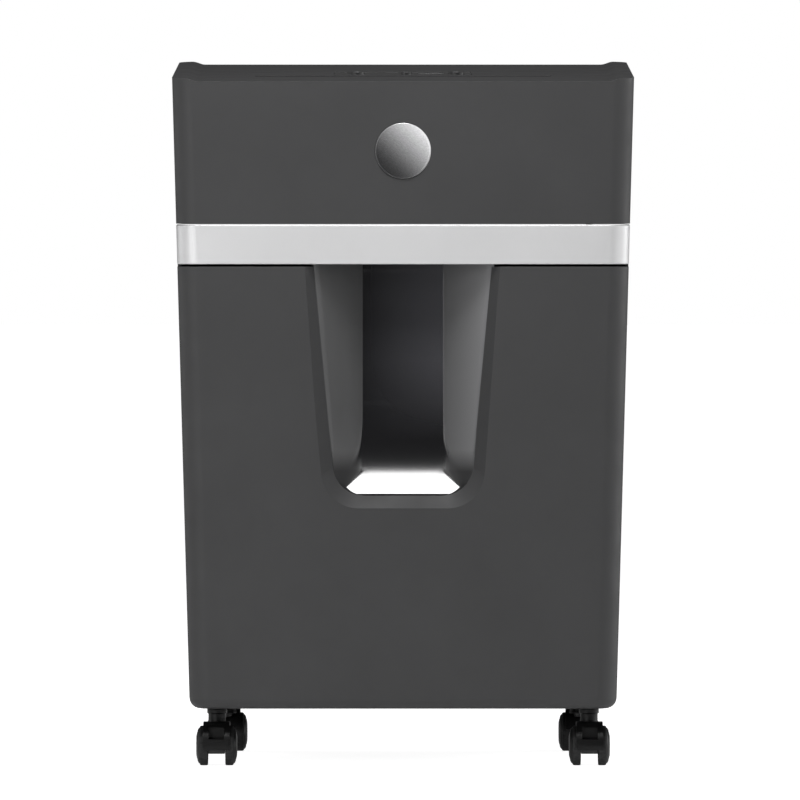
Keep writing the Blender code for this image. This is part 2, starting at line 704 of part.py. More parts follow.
def put_on_dish(obj, x=0.0, lift=0.0):
    """Stand an object on the dish at the control panel, square to the slope."""
    turn = Euler((DISH_SLOPE, 0, 0)).to_matrix().to_4x4()
    place = Matrix.Translation((x, PANEL_Y, dish_z(PANEL_Y)))
    obj.matrix_world = place @ turn @ Matrix.Translation((0, 0, lift)) @ obj.matrix_world


def dish_cutout(name, x, length, width):
    """A cutter for a rectangular piece that is let into the dish or the panel, with its gap."""
    half, across = length / 2 + GAP, width / 2 + GAP
    cutter = box(name, (-half, -across, -WALL * 4), (half, across, WALL * 4))
    put_on_dish(cutter, x=x)
    return cutter


def put_on_front(obj, z, depth):
    """Put an object's origin behind the front face at a height, square to the leaning face."""
    lean = Euler((-math.atan(FACE_DRAFT), 0, 0)).to_matrix().to_4x4()
    place = Matrix.Translation((0, -half_depth(z), z))
    obj.matrix_world = place @ lean @ Matrix.Translation((0, depth, 0)) @ obj.matrix_world


def make_badge_disc():
    low = -BADGE_THICKNESS / 2
    edge = BADGE_THICKNESS * 0.2
    profile = [
        (0, -low),
        (BADGE_RADIUS, -low),
        (BADGE_RADIUS, low + edge),
        (BADGE_RADIUS - edge, low),
        (0, low),
    ]
    badge = turned("badge_disc", profile, TRIM_SILVER, axis="Y", steps=40)
    put_on_front(badge, BADGE_Z, BADGE_POCKET - GAP - BADGE_THICKNESS / 2)


def make_head_tray():
    """Floor of the head, with the opening that the shreds fall through."""
    corner = CORNER_RADIUS - WALL
    tray = drafted("head_tray", TRAY_BOTTOM, TRAY_TOP, MATT_BLACK, inset=WALL + GAP, radius=corner)
    reach = DISC_RADIUS + CUTTER_ROOM
    half = PLATE_INNER_X - PLATE_THICKNESS
    boolean(tray, box("cut_chute", (-half, FRONT_Y - reach, 0), (half, REAR_Y + reach, LARGE)))
    at = (SWITCH_X, SWITCH_Y, 0)
    boolean(tray, rod("cut_plunger_hole", PLUNGER_RADIUS + GAP, 0, LARGE, at=at, axis="Z"))


def make_feed_throat():
    half = SLOT_LENGTH / 2 + THROAT_WALL
    across = SLOT_WIDTH / 2 + THROAT_WALL
    top = dish_z(SLOT_Y) + WALL
    low = (-half, SLOT_Y - across, THROAT_BOTTOM)
    throat = box("feed_throat", low, (half, SLOT_Y + across, top), MATT_BLACK)
    boolean(throat, dish_cutter("cut_throat_top", GAP))
    inner = SLOT_LENGTH / 2
    low = (-inner, SLOT_Y - SLOT_WIDTH / 2, 0)
    boolean(throat, box("cut_throat", low, (inner, SLOT_Y + SLOT_WIDTH / 2, LARGE)))
    window = LEVER_HALF + LEVER_WINDOW
    low = (-window, LEVER_PIVOT_Y, LEVER_PIVOT_Z - LEVER_HUB * 3)
    high = (window, SLOT_Y, LEVER_PIVOT_Z + LEVER_HUB)
    boolean(throat, box("cut_lever_window", low, high))


def make_control_panel():
    low = (-PANEL_LENGTH / 2, -PANEL_WIDTH / 2, -PANEL_THICKNESS)
    panel = box("control_panel", low, (PANEL_LENGTH / 2, PANEL_WIDTH / 2, 0), GLOSS_BLACK)
    put_on_dish(panel, lift=-PANEL_SINK)
    for name, x, radius in BUTTONS:
        hole = rod("cut_" + name, radius + GAP, -WALL * 4, WALL * 4, axis="Z", steps=20)
        put_on_dish(hole, x=x)
        boolean(panel, hole)
    boolean(panel, dish_cutout("cut_lens", LENS_X, LENS_LENGTH, LENS_WIDTH))
    low = (-LENS_LENGTH / 2, -LENS_WIDTH / 2, -PANEL_THICKNESS)
    lens = box("status_lens", low, (LENS_LENGTH / 2, LENS_WIDTH / 2, 0), WHITE_NYLON)
    put_on_dish(lens, x=LENS_X)


def make_buttons():
    """Round push buttons that stand a little proud of the panel and reach below it."""
    under = -PANEL_THICKNESS - BUTTON_TRAVEL
    for name, x, radius in BUTTONS:
        profile = [
            (0, BUTTON_PROUD),
            (radius - BUTTON_EDGE, BUTTON_PROUD),
            (radius, BUTTON_PROUD - BUTTON_EDGE),
            (radius, under),
            (0, under),
        ]
        button = turned(name, profile, MATT_BLACK, axis="Z", steps=20)
        put_on_dish(button, x=x)


def make_side_plates():
    """Steel cheeks with holes for the bushes, the tie bar, the idler pin and the motor shaft."""
    bush = BUSH_RADIUS + GAP
    holes = [circle(FRONT_Y, CUTTER_Z, bush), circle(REAR_Y, CUTTER_Z, bush)]
    front = FRONT_Y - DISC_RADIUS - COMB_BAR - PLATE_FRONT_MARGIN
    edge = rectangle((front, PLATE_BOTTOM), (MOTOR_Y + MOTOR_RADIUS + PLATE_REAR_MARGIN, PLATE_TOP))
    x = PLATE_INNER_X + PLATE_THICKNESS / 2
    plate("side_plate_left", [edge] + holes, PLATE_THICKNESS, ZINC, at=(-x, 0, 0))
    holes.append(circle(MOTOR_Y, MOTOR_Z, MOTOR_TEETH * MOTOR_MODULE / 2 + PINION_HOLE_GAP))
    holes.append(circle(IDLER_Y, IDLER_Z, IDLER_PIN_RADIUS + GAP))
    plate("side_plate_right", [edge] + holes, PLATE_THICKNESS, ZINC, at=(x, 0, 0))


def make_tie_bar():
    reach = PLATE_INNER_X - GAP
    at = (0, REAR_Y + CUTTER_SPACING * 0.75, PLATE_TOP - TIE_BAR_RADIUS * 2)
    rod("tie_bar", TIE_BAR_RADIUS, -reach, reach, ZINC, at=at, steps=12)


def roller_profile(count):
    """Discs and spacers of one roller from its right end to its left end, as (radius, place)."""
    profile = []
    for k in range(count):
        middle = (count - 1) / 2 * DISC_PITCH - k * DISC_PITCH
        right, left = middle + DISC_WIDTH / 2, middle - DISC_WIDTH / 2
        profile += [(CORE_RADIUS, right), (DISC_RADIUS, right), (DISC_RADIUS, left), (CORE_RADIUS, left)]
    return [(CORE_RADIUS, ROLLER_END)] + profile + [(CORE_RADIUS, -ROLLER_END)]


def make_roller(name, count, y, right_end):
    left_end = -(GEAR_X + GEAR_WIDTH + SHAFT_OVERHANG)
    profile = [(0, right_end), (SHAFT_RADIUS, right_end), (SHAFT_RADIUS, ROLLER_END)]
    profile += roller_profile(count)
    profile += [(SHAFT_RADIUS, -ROLLER_END), (SHAFT_RADIUS, left_end), (0, left_end)]
    turned(name, profile, STEEL, at=(0, y, CUTTER_Z), steps=12)


def make_rollers():
    short_end = PLATE_INNER_X + PLATE_THICKNESS + BUSH_FLANGE + SHAFT_OVERHANG
    make_roller("cutter_roller_front", FRONT_DISCS, FRONT_Y, short_end)
    make_roller("cutter_roller_rear", FRONT_DISCS - 1, REAR_Y, GEAR_X + GEAR_WIDTH + SHAFT_OVERHANG)


def make_bushes():
    """Flanged bushes, pushed into the side plates from outside."""
    bore = SHAFT_RADIUS + GAP
    inner = -PLATE_THICKNESS
    for side, sign in (("left", -1), ("right", 1)):
        for row, y in (("front", FRONT_Y), ("rear", REAR_Y)):
            profile = [
                (BUSH_FLANGE_RADIUS, BUSH_FLANGE + GAP),
                (BUSH_FLANGE_RADIUS, GAP),
                (BUSH_RADIUS, GAP),
                (BUSH_RADIUS, inner),
                (bore, inner),
                (bore, BUSH_FLANGE + GAP),
            ]
            if sign < 0:
                profile = [(radius, -height) for radius, height in reversed(profile)]
            at = (sign * (PLATE_INNER_X + PLATE_THICKNESS), y, CUTTER_Z)
            turned(f"bush_{row}_{side}", profile, BRASS, at=at, steps=16)


def comb_outline(bar_y, finger_y, gaps):
    """A bar along X with a finger into each gap between discs."""
    reach = PLATE_INNER_X - GAP * 2
    half = DISC_WIDTH / 2
    outline = [(-reach, bar_y)]
    if finger_y > bar_y:
        near = bar_y + COMB_BAR
    else:
        near = bar_y - COMB_BAR
    outline.append((-reach, near))
    for x in gaps:
        outline += [(x - half, near), (x - half, finger_y), (x + half, finger_y), (x + half, near)]
    outline += [(reach, near), (reach, bar_y)]
    return outline


def disc_gaps(count):
    return [(k - (count - 2) / 2) * DISC_PITCH for k in range(count - 1)]


def make_combs():
    """Strippers that keep the gaps between the discs clear."""
    core = CORE_RADIUS + COMB_CORE_GAP
    disc = DISC_RADIUS + CUTTER_ROOM
    outline = comb_outline(FRONT_Y - disc - COMB_BAR, FRONT_Y - core, disc_gaps(FRONT_DISCS))
    plate("comb_front", [outline], COMB_THICKNESS, ZINC, at=(0, 0, CUTTER_Z), plane="XY")
    outline = comb_outline(REAR_Y + disc + COMB_BAR, REAR_Y + core, disc_gaps(FRONT_DISCS - 1))
    plate("comb_rear", [outline], COMB_THICKNESS, ZINC, at=(0, 0, CUTTER_Z), plane="XY")


def gear_outline(teeth, module, phase):
    """Teeth with straight flanks. The first tooth points along the phase angle."""
    pitch = module * teeth / 2
    half_arc = math.pi * module / 4 * (1 - TOOTH_BACKLASH)
    outline = []
    for k in range(teeth):
        middle = phase + 2 * math.pi * k / teeth
        sides = []
        for radius in (pitch - TOOTH_ROOT * module, pitch + TOOTH_TIP * module):
            sides.append((radius, (half_arc + (pitch - radius) * FLANK_TAN) / radius))
        root, tip = sides
        corners = [(root[0], -root[1]), (tip[0], -tip[1]), (tip[0], tip[1]), (root[0], root[1])]
        outline += [(r * math.cos(middle + a), r * math.sin(middle + a)) for r, a in corners]
    return outline


def gear(name, teeth, module, phase, width, bore, finish, at):
    outlines = [gear_outline(teeth, module, phase), circle(0, 0, bore, 12)]
    return plate(name, outlines, width, finish, at=at)


def facing_phase(direction, teeth):
    """Phase that sets a gap between two teeth towards the gear that drives it."""
    return direction + math.pi + math.pi / teeth


def make_gear_train():
    bore = SHAFT_RADIUS + GAP
    x = GEAR_X + GEAR_WIDTH / 2
    pair = (ROLLER_TEETH, ROLLER_MODULE)
    gear("roller_gear_rear", *pair, math.pi, GEAR_WIDTH, bore, STEEL, (-x, REAR_Y, CUTTER_Z))
    phase = facing_phase(math.pi, ROLLER_TEETH)
    gear("roller_gear_front", *pair, phase, GEAR_WIDTH, bore, STEEL, (-x, FRONT_Y, CUTTER_Z))
    gear("drive_gear", DRIVE_TEETH, DRIVE_MODULE, IDLER_ANGLE, GEAR_WIDTH, bore, STEEL, (x, REAR_Y, CUTTER_Z))
    make_idler()
    shaft = MOTOR_SHAFT_RADIUS + GAP
    phase = facing_phase(MOTOR_ANGLE, MOTOR_TEETH)
    at = (MOTOR_GEAR_X, MOTOR_Y, MOTOR_Z)
    gear("motor_pinion", MOTOR_TEETH, MOTOR_MODULE, phase, MOTOR_GEAR_WIDTH, shaft, BRASS, at)


def make_idler():
    """The compound gear: a small pinion on the drive gear, a large wheel on the motor pinion."""
    bore = IDLER_PIN_RADIUS + GAP
    phase = facing_phase(IDLER_ANGLE, IDLER_SMALL_TEETH)
    small = gear_outline(IDLER_SMALL_TEETH, DRIVE_MODULE, phase)
    hole = circle(0, 0, bore, 12)
    length = GEAR_WIDTH + GEAR_STEP + PINION_OVERLAP
    at = (GEAR_X + length / 2, IDLER_Y, IDLER_Z)
    pinion = plate("cut_idler_pinion", [small, hole], length, at=at)
    large = gear_outline(IDLER_LARGE_TEETH, MOTOR_MODULE, MOTOR_ANGLE)
    at = (MOTOR_GEAR_X, IDLER_Y, IDLER_Z)
    idler = plate("idler_gear", [large, hole], MOTOR_GEAR_WIDTH, WHITE_NYLON, at=at)
    boolean(idler, pinion, "UNION")
    end = MOTOR_GEAR_X + MOTOR_GEAR_WIDTH / 2 + PIN_OVERHANG
    rod("idler_pin", IDLER_PIN_RADIUS, PLATE_INNER_X, end, STEEL, at=(0, IDLER_Y, IDLER_Z), steps=12)


def make_motor():
    """Stator with one open end, and an armature with its shaft and fan."""
    right = PLATE_INNER_X - GAP
    left = right - MOTOR_LENGTH
    bore = MOTOR_RADIUS - MOTOR_WALL
    shaft = MOTOR_SHAFT_RADIUS + GAP
    housing = [
        (MOTOR_RADIUS, right),
        (MOTOR_RADIUS, left),
        (bore, left),
        (bore, right - MOTOR_END_PLATE),
        (shaft, right - MOTOR_END_PLATE),
        (shaft, right),
    ]
    turned("motor_housing", housing, STEEL, at=(0, MOTOR_Y, MOTOR_Z), steps=20)
    core = bore - ARMATURE_CLEARANCE
    end = MOTOR_GEAR_X + MOTOR_GEAR_WIDTH / 2 + SHAFT_OVERHANG
    armature = [
        (0, end),
        (MOTOR_SHAFT_RADIUS, end),
        (MOTOR_SHAFT_RADIUS, right - ARMATURE_END_GAP),
        (core, right - ARMATURE_END_GAP),
        (core, left + ARMATURE_END_GAP),
        (MOTOR_SHAFT_RADIUS, left + ARMATURE_END_GAP),
        (MOTOR_SHAFT_RADIUS, left - FAN_GAP),
        (FAN_RADIUS, left - FAN_GAP),
        (FAN_RADIUS, left - FAN_GAP - FAN_WIDTH),
        (0, left - FAN_GAP - FAN_WIDTH),
    ]
    turned("motor_armature", armature, COPPER, at=(0, MOTOR_Y, MOTOR_Z), steps=16)


def make_control_board():
    """Board under the buttons, with a transformer and a relay."""
    low = dish_z(PANEL_Y) - BOARD_DROP
    half = PANEL_LENGTH / 2 + WALL
    front, rear = PANEL_Y - PANEL_WIDTH * 0.6, PANEL_Y + PANEL_WIDTH * 0.8
    board = box("control_board", (-half, front, low), (half, rear, low + BOARD_THICKNESS), BOARD_GREEN)
    inside = low + BOARD_THICKNESS / 2
    edge = rear - BLOCK_INSET
    for name, block_size in (("cut_transformer", TRANSFORMER), ("cut_relay", RELAY)):
        x, length, width, height = block_size
        block = box(name, (x, edge - width, low - height), (x + length, edge, inside))
        boolean(board, block, "UNION")


def make_cord_gland():
    """Ring where a supply cord enters the back of the head."""
    wall = half_depth(GLAND_Z)
    inner = wall - GLAND_REACH
    rim = wall + GLAND_FLANGE
    profile = [
        (GLAND_FLANGE_RADIUS, rim),
        (GLAND_FLANGE_RADIUS, wall + GAP),
        (GLAND_RADIUS, wall + GAP),
        (GLAND_RADIUS, inner),
        (GLAND_BORE, inner),
        (GLAND_BORE, rim),
    ]
    turned("cord_gland", profile, MATT_BLACK, at=(GLAND_X, 0, GLAND_Z), axis="Y", steps=20)


def make_paper_sensor():
    """A lever in the feed slot, on trunnions between two cheeks."""
    pivot = (0, LEVER_PIVOT_Y, LEVER_PIVOT_Z)
    cheek = LEVER_HALF + SENSOR_CHEEK
    low = (-cheek, LEVER_PIVOT_Y - LEVER_HUB * 2, LEVER_PIVOT_Z - LEVER_HUB - SENSOR_FLOOR)
    high = (cheek, LEVER_PIVOT_Y + LEVER_HUB + SENSOR_FLOOR, LEVER_PIVOT_Z + LEVER_HUB * 3)
    body = box("paper_sensor", low, high, MATT_BLACK)
    slot = LEVER_HALF + GAP * 2
    top = LEVER_PIVOT_Z + LEVER_HUB + SENSOR_ROOF
    boolean(body, box("cut_sensor_slot", (-slot, -LARGE, 0), (slot, LARGE, top)))
    hole = rod("cut_trunnion", TRUNNION_RADIUS + GAP, -cheek * 2, cheek * 2, at=pivot, steps=12)
    boolean(body, hole)
    reach = SLOT_Y + SLOT_WIDTH / 4 - LEVER_PIVOT_Y
    outline = arc(0, 0, LEVER_HUB, 30, 330, 8) + [(reach, LEVER_TIP_LOW), (reach, LEVER_TIP_HIGH)]
    lever = plate("paper_sensor_lever", [outline], LEVER_HALF * 2, WHITE_NYLON, at=pivot)
    trunnion = rod("cut_lever_trunnion", TRUNNION_RADIUS, -cheek + GAP, cheek - GAP, at=pivot, steps=10)
    boolean(lever, trunnion, "UNION")


def make_interlock():
    """Switch on the head's floor with a plunger that the closed bin holds up."""
    length, width = PLUNGER_RADIUS * 3.8, PLUNGER_RADIUS * 2.2
    low = (SWITCH_X - length, SWITCH_Y - width, TRAY_TOP + GAP)
    high = (SWITCH_X + length, SWITCH_Y + width, TRAY_TOP + SWITCH_HEIGHT)
    body = box("interlock_switch", low, high, MATT_BLACK)
    at = (SWITCH_X, SWITCH_Y, 0)
    bore_top = TRAY_TOP + SWITCH_HEIGHT * 0.75
    boolean(body, rod("cut_switch_bore", PLUNGER_RADIUS + GAP, 0, bore_top, at=at, axis="Z"))
    tip = HEAD_BOTTOM - SEAM
    top = bore_top - PLUNGER_HEADROOM
    rod("interlock_plunger", PLUNGER_RADIUS, tip, top, WHITE_NYLON, at=at, axis="Z", steps=12)


def make_hood(name, x, y, facing):
    """Caster hood: a web between the wheels, a fender over them and a round neck at the stem."""
    centre = (x, y + facing * TRAIL, WHEEL_RADIUS)
    upper = [(facing * u, v) for u, v in arc(0, 0, HOOD_OUTER, -8, 172, 10)]
    lower = [(facing * u, v) for u, v in arc(0, 0, HOOD_INNER, 172, -8, 10)]
    fender = plate(name, [upper + lower], HOOD_HALF * 2, MATT_BLACK, at=centre)
    web = [(facing * u, v) for u, v in arc(0, 0, HOOD_INNER + WEB_OVERLAP, -4, 168, 8)]
    web += [(facing * u, v) for u, v in ((-WEB_FRONT, -WEB_DROP), (WEB_REAR, -WEB_DROP))]
    axle_hole = circle(0, 0, AXLE_RADIUS + GAP, 12)
    body = plate("cut_web_" + name, [web, axle_hole], WEB_HALF * 2, at=centre)
    boolean(fender, body, "UNION")
    neck = rod("cut_neck_" + name, NECK_RADIUS, NECK_BOTTOM, HOOD_TOP, at=(x, y, 0), axis="Z")
    boolean(fender, neck, "UNION")
    bore_low = NECK_BOTTOM - STEM_SINK
    bore = rod("cut_bore_" + name, STEM_RADIUS + GAP, bore_low, RAIL_TOP, at=(x, y, 0), axis="Z")
    boolean(fender, bore)


def make_wheel(name, x, y, sign):
    """One of a caster's two wheels, with a blind bore on its inner side."""
    bore = AXLE_RADIUS + GAP
    outer = [
        (0, WHEEL_OUTER_X),
        (WHEEL_RADIUS - 0.0065, WHEEL_OUTER_X - 0.0004),
        (WHEEL_RADIUS - 0.0020, WHEEL_OUTER_X - 0.0020),
        (WHEEL_RADIUS, WHEEL_OUTER_X - 0.0030),
        (WHEEL_RADIUS, WHEEL_INNER_X),
        (bore, WHEEL_INNER_X),
        (bore, WHEEL_OUTER_X - 0.0022),
        (0, WHEEL_OUTER_X - 0.0022),
    ]
    if sign < 0:
        outer = [(radius, -height) for radius, height in reversed(outer)]
    turned(name, outer, MATT_BLACK, at=(x, y, WHEEL_RADIUS), steps=18)


def make_casters():
    for name, x, y, facing in CASTERS:
        make_hood(f"caster_hood_{name}", x, y, facing)
        axle_y = y + facing * TRAIL
        make_wheel(f"caster_wheel_{name}_a", x, axle_y, -1)
        make_wheel(f"caster_wheel_{name}_b", x, axle_y, 1)
        reach = WHEEL_OUTER_X - 0.0026
        at = (x, axle_y, WHEEL_RADIUS)
        rod(f"caster_axle_{name}", AXLE_RADIUS, -reach, reach, BLACK_STEEL, at=at, steps=12)
        low = NECK_BOTTOM - STEM_SINK + END_PLAY
        high = RAIL_TOP - SOCKET_ROOF - END_PLAY
        rod(f"caster_stem_{name}", STEM_RADIUS, low, high, BLACK_STEEL, at=(x, y, 0), axis="Z", steps=12)


make_cabinet_shell()
make_chassis_plate()
make_head_cover()
make_head_tray()
make_feed_throat()
make_badge_disc()
make_control_panel()
make_buttons()
make_cord_gland()
make_side_plates()
make_tie_bar()
make_combs()
make_rollers()
make_bushes()
make_gear_train()
make_motor()
make_control_board()
make_paper_sensor()
make_interlock()
make_bin_tub()
make_bin_front_panel()
make_trim_band()
make_scoop_window()
make_casters()
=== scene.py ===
"""The looks of the deskside paper shredder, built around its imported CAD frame.

Units are metres and +Z is up. The front faces -Y. The casings, the scoop window, the badge, the
controls, and the casters' hoods and wheels get fine meshes of their own. All other parts keep their
CAD mesh and take a material, and SOFTENED_NODES get slightly softened edges as well.
"""

import math

import bmesh
import bpy
from mathutils import Euler, Matrix, Vector


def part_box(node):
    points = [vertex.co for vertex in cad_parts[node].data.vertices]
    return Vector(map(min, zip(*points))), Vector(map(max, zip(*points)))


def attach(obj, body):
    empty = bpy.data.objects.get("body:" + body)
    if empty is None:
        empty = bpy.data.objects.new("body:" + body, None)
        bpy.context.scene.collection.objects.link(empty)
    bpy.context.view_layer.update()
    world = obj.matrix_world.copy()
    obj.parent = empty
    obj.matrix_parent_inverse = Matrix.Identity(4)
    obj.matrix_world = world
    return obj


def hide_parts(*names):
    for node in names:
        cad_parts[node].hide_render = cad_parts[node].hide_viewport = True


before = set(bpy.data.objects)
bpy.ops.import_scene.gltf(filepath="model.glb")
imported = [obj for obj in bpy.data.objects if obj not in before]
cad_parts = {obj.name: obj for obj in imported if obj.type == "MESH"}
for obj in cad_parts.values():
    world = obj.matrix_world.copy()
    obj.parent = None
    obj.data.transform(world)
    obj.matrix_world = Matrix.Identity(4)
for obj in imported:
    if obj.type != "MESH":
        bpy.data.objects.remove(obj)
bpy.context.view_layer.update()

# The body's draft, and sizes that its fine meshes share with the CAD.
SIDE_DRAFT = 0.02695
FACE_DRAFT = 0.0179
CORNER_RADIUS = 0.0160
FOOT_RADIUS = 0.0080
WALL = 0.0030
GAP = 0.0003
SEAM = 0.0006
# Further out than any part reaches.
LARGE = 1.0
PLACES = ("front_left", "front_right", "rear_left", "rear_right")

BAND_LOW, BAND_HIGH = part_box("trim_band")
FRONT_LOW, FRONT_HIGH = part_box("bin_front_panel")
SHELL_LOW, SHELL_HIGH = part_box("cabinet_shell")
BODY_BOTTOM = FRONT_LOW.z
BAND_BOTTOM = BAND_LOW.z
BAND_TOP = BAND_HIGH.z
HEAD_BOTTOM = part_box("head_cover")[0].z
WRAP_Y = BAND_HIGH.y

# The dish on top of the head, and the rims at its sides.
DISH_SLOPE = math.atan(0.0731)
DISH_FRONT_Z = HEAD_BOTTOM + 0.1065
RIM_RAISE = 0.0023
RIM_WIDTH = 0.0095
RIM_RAMP = 0.0100
RAMP_STEPS = 10

# The scoop in the bin front.
SCOOP_BOTTOM = BAND_BOTTOM - 0.1832
SCOOP_TOP_HALF = 0.0737
SCOOP_SIDE_SLOPE = 0.0776
SCOOP_CORNER = 0.0280
SCOOP_RIM_TOP = 0.0070
SCOOP_RIM_BOTTOM = 0.0094
SCOOP_INNER_SLOPE = 0.0904
SCOOP_INNER_CORNER = 0.0240
SCOOP_RIM_DEPTH = 0.0080
SCOOP_BACK_HALF = 0.0305
SCOOP_BACK_DEPTH = 0.0420
SCOOP_KNEE_DEPTH = 0.0330
SCOOP_KNEE_Z = BAND_BOTTOM - 0.1025
SCOOP_EDGE = SCOOP_BOTTOM + SCOOP_RIM_BOTTOM
SCOOP_INNER_HALF = SCOOP_TOP_HALF - SCOOP_RIM_TOP
SCOOP_ROOF_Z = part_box("scoop_window")[1].z
SCOOP_WALL = 0.0022
SCOOP_CUT_LEAD = 0.0040
SCOOP_CUT_OVERRUN = 0.0020
BOSS_MARGIN = 0.0090


def half_width(z):
    return BAND_HIGH.x + SIDE_DRAFT * (z - BAND_TOP)


def half_depth(z):
    return -BAND_LOW.y + FACE_DRAFT * (z - BAND_TOP)


def middle(node):
    low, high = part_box(node)
    return (low + high) / 2


BADGE = middle("badge_disc")
BADGE_RADIUS = (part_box("badge_disc")[1].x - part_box("badge_disc")[0].x) / 2


# ---- node materials


def node_material(name, metallic=0.0, roughness=0.5, specular=0.5):
    material = bpy.data.materials.new(name)
    material.use_nodes = True
    tree = material.node_tree
    shader = tree.nodes["Principled BSDF"]
    shader.inputs["Metallic"].default_value = metallic
    shader.inputs["Roughness"].default_value = roughness
    shader.inputs["Specular IOR Level"].default_value = specular
    return material, tree, shader


def noise(tree, scale, detail=3.0, stretch=(1, 1, 1)):
    """Noise in object coordinates, in waves per metre, stretched along an axis for grain."""
    place = tree.nodes.new("ShaderNodeTexCoord")
    mapping = tree.nodes.new("ShaderNodeMapping")
    mapping.inputs["Scale"].default_value = stretch
    texture = tree.nodes.new("ShaderNodeTexNoise")
    texture.inputs["Scale"].default_value = scale
    texture.inputs["Detail"].default_value = detail
    tree.links.new(place.outputs["Object"], mapping.inputs["Vector"])
    tree.links.new(mapping.outputs["Vector"], texture.inputs["Vector"])
    return texture.outputs["Fac"]


def spread(tree, value, low, high, begin=0.3, end=0.7):
    """Map an output that runs from begin to end onto low to high. The defaults suit a noise."""
    node = tree.nodes.new("ShaderNodeMapRange")
    node.inputs["From Min"].default_value = begin
    node.inputs["From Max"].default_value = end
    node.inputs["To Min"].default_value = low
    node.inputs["To Max"].default_value = high
    tree.links.new(value, node.inputs["Value"])
    return node.outputs["Result"]


def blend_colours(tree, factor, first, second):
    """Mix two colours, or colour outputs, by a factor output."""
    node = tree.nodes.new("ShaderNodeMix")
    node.data_type = "RGBA"
    tree.links.new(factor, node.inputs["Factor"])
    for colour, socket in ((first, node.inputs[6]), (second, node.inputs[7])):
        if isinstance(colour, tuple):
            socket.default_value = (*colour, 1.0)
        else:
            tree.links.new(colour, socket)
    return node.outputs[2]


def times(tree, first, second):
    """The product of two outputs."""
    node = tree.nodes.new("ShaderNodeMath")
    node.operation = "MULTIPLY"
    tree.links.new(first, node.inputs[0])
    tree.links.new(second, node.inputs[1])
    return node.outputs[0]


def add(tree, first, second):
    """The sum of two outputs. It is what a Math node does unless told otherwise."""
    node = tree.nodes.new("ShaderNodeMath")
    tree.links.new(first, node.inputs[0])
    tree.links.new(second, node.inputs[1])
    return node.outputs[0]


def shade(colour, amount):
    """The colour made darker or lighter."""
    return tuple(min(channel * amount, 1.0) for channel in colour)


def edge_wear(tree, base, colour, radius, strength):
    """The base with another colour along convex edges: where rounded and true normals part."""
    bevel = tree.nodes.new("ShaderNodeBevel")
    bevel.samples = 4
    bevel.inputs["Radius"].default_value = radius
    true = tree.nodes.new("ShaderNodeNewGeometry")
    dot = tree.nodes.new("ShaderNodeVectorMath")
    dot.operation = "DOT_PRODUCT"
    tree.links.new(bevel.outputs["Normal"], dot.inputs[0])
    tree.links.new(true.outputs["Normal"], dot.inputs[1])
    mask = spread(tree, dot.outputs["Value"], strength, 0.0, 0.75, 0.98)
    return blend_colours(tree, mask, base, colour)


def paint(tree, shader, colour):
    tree.links.new(colour, shader.inputs["Base Color"])


def roughen(tree, shader, value):
    tree.links.new(value, shader.inputs["Roughness"])


def drifting(tree, colour, scale, detail, swing):
    """The colour with a slow drift, a little darker and lighter."""
    drift = noise(tree, scale, detail)
    darker, lighter = shade(colour, 1 - swing), shade(colour, 1 + swing)
    return blend_colours(tree, spread(tree, drift, 0, 1), darker, lighter)


def bump(tree, shader, height, strength, distance, before=None):
    """Uneven shading by a height output, on top of an earlier bump if there is one."""
    node = tree.nodes.new("ShaderNodeBump")
    node.inputs["Strength"].default_value = strength
    node.inputs["Distance"].default_value = distance
    tree.links.new(height, node.inputs["Height"])
    if before is not None:
        tree.links.new(before, node.inputs["Normal"])
    tree.links.new(node.outputs["Normal"], shader.inputs["Normal"])
    return node.outputs["Normal"]


def moulded_plastic(name, colour, roughness, grain=0.35, grain_scale=900, specular=0.5, worn=True):
    """Moulded plastic: fine spark-eroded grain, slow drift of colour and gloss, lighter edges."""
    material, tree, shader = node_material(name, 0.0, roughness, specular)
    base = drifting(tree, colour, 14, 4, 0.06)
    if worn:
        base = edge_wear(tree, base, shade(colour, 1.9), 0.0008, 0.35)
    paint(tree, shader, base)
    smears = noise(tree, 45, 5)
    roughen(tree, shader, spread(tree, smears, roughness - 0.05, roughness + 0.06))
    coarse = bump(tree, shader, noise(tree, grain_scale, 2), grain, 0.00006)
    bump(tree, shader, noise(tree, grain_scale * 3.1, 1), grain * 0.6, 0.00002, coarse)
    return material


def gloss_plastic(name, colour, roughness=0.08, coat=0.5):
    """Polished plastic: hair-fine wipe marks in the gloss, and a very slight waviness."""
    material, tree, shader = node_material(name, 0.0, roughness, 0.5)
    paint(tree, shader, drifting(tree, colour, 20, 3, 0.12))
    wipes = noise(tree, 60, 6, (1, 1, 9))
    roughen(tree, shader, spread(tree, wipes, roughness * 0.7, roughness * 1.6))
    shader.inputs["Coat Weight"].default_value = coat
    shader.inputs["Coat Roughness"].default_value = 0.04
    bump(tree, shader, noise(tree, 30, 2), 0.05, 0.0004)
    return material


# Where the smoked window's painted light, painted shade and gloss fade. Facing is how far a surface
# faces sideways, 0 to 1.
SIDE_FACING = (0.30, 0.62)
CORNER_FACING = (0.06, 0.22)
SIDE_FADE_Z = (SCOOP_EDGE + 0.018, SCOOP_EDGE + 0.034)
CORNER_FADE_Z = (SCOOP_EDGE + 0.018, SCOOP_EDGE + 0.032)
# The side walls' painted light grows towards the right across these places.
SIDE_LIGHT_FADE_X = (0.020, 0.066)
# The back wall's painted light grows towards the right and upward across these places.
BACK_LIGHT_FADE_X = (-0.036, 0.036)
BACK_LIGHT_FADE_Z = (SCOOP_KNEE_Z - 0.030, SCOOP_KNEE_Z + 0.030)
# How much lighter the painted light makes the side walls and the back wall.
SIDE_LIGHT_PAINT = 3.0
BACK_LIGHT_PAINT = 8.5
BACK_ROUGHNESS = 0.13
SIDE_ROUGHNESS = 0.42
CORNER_DULLING = 0.55


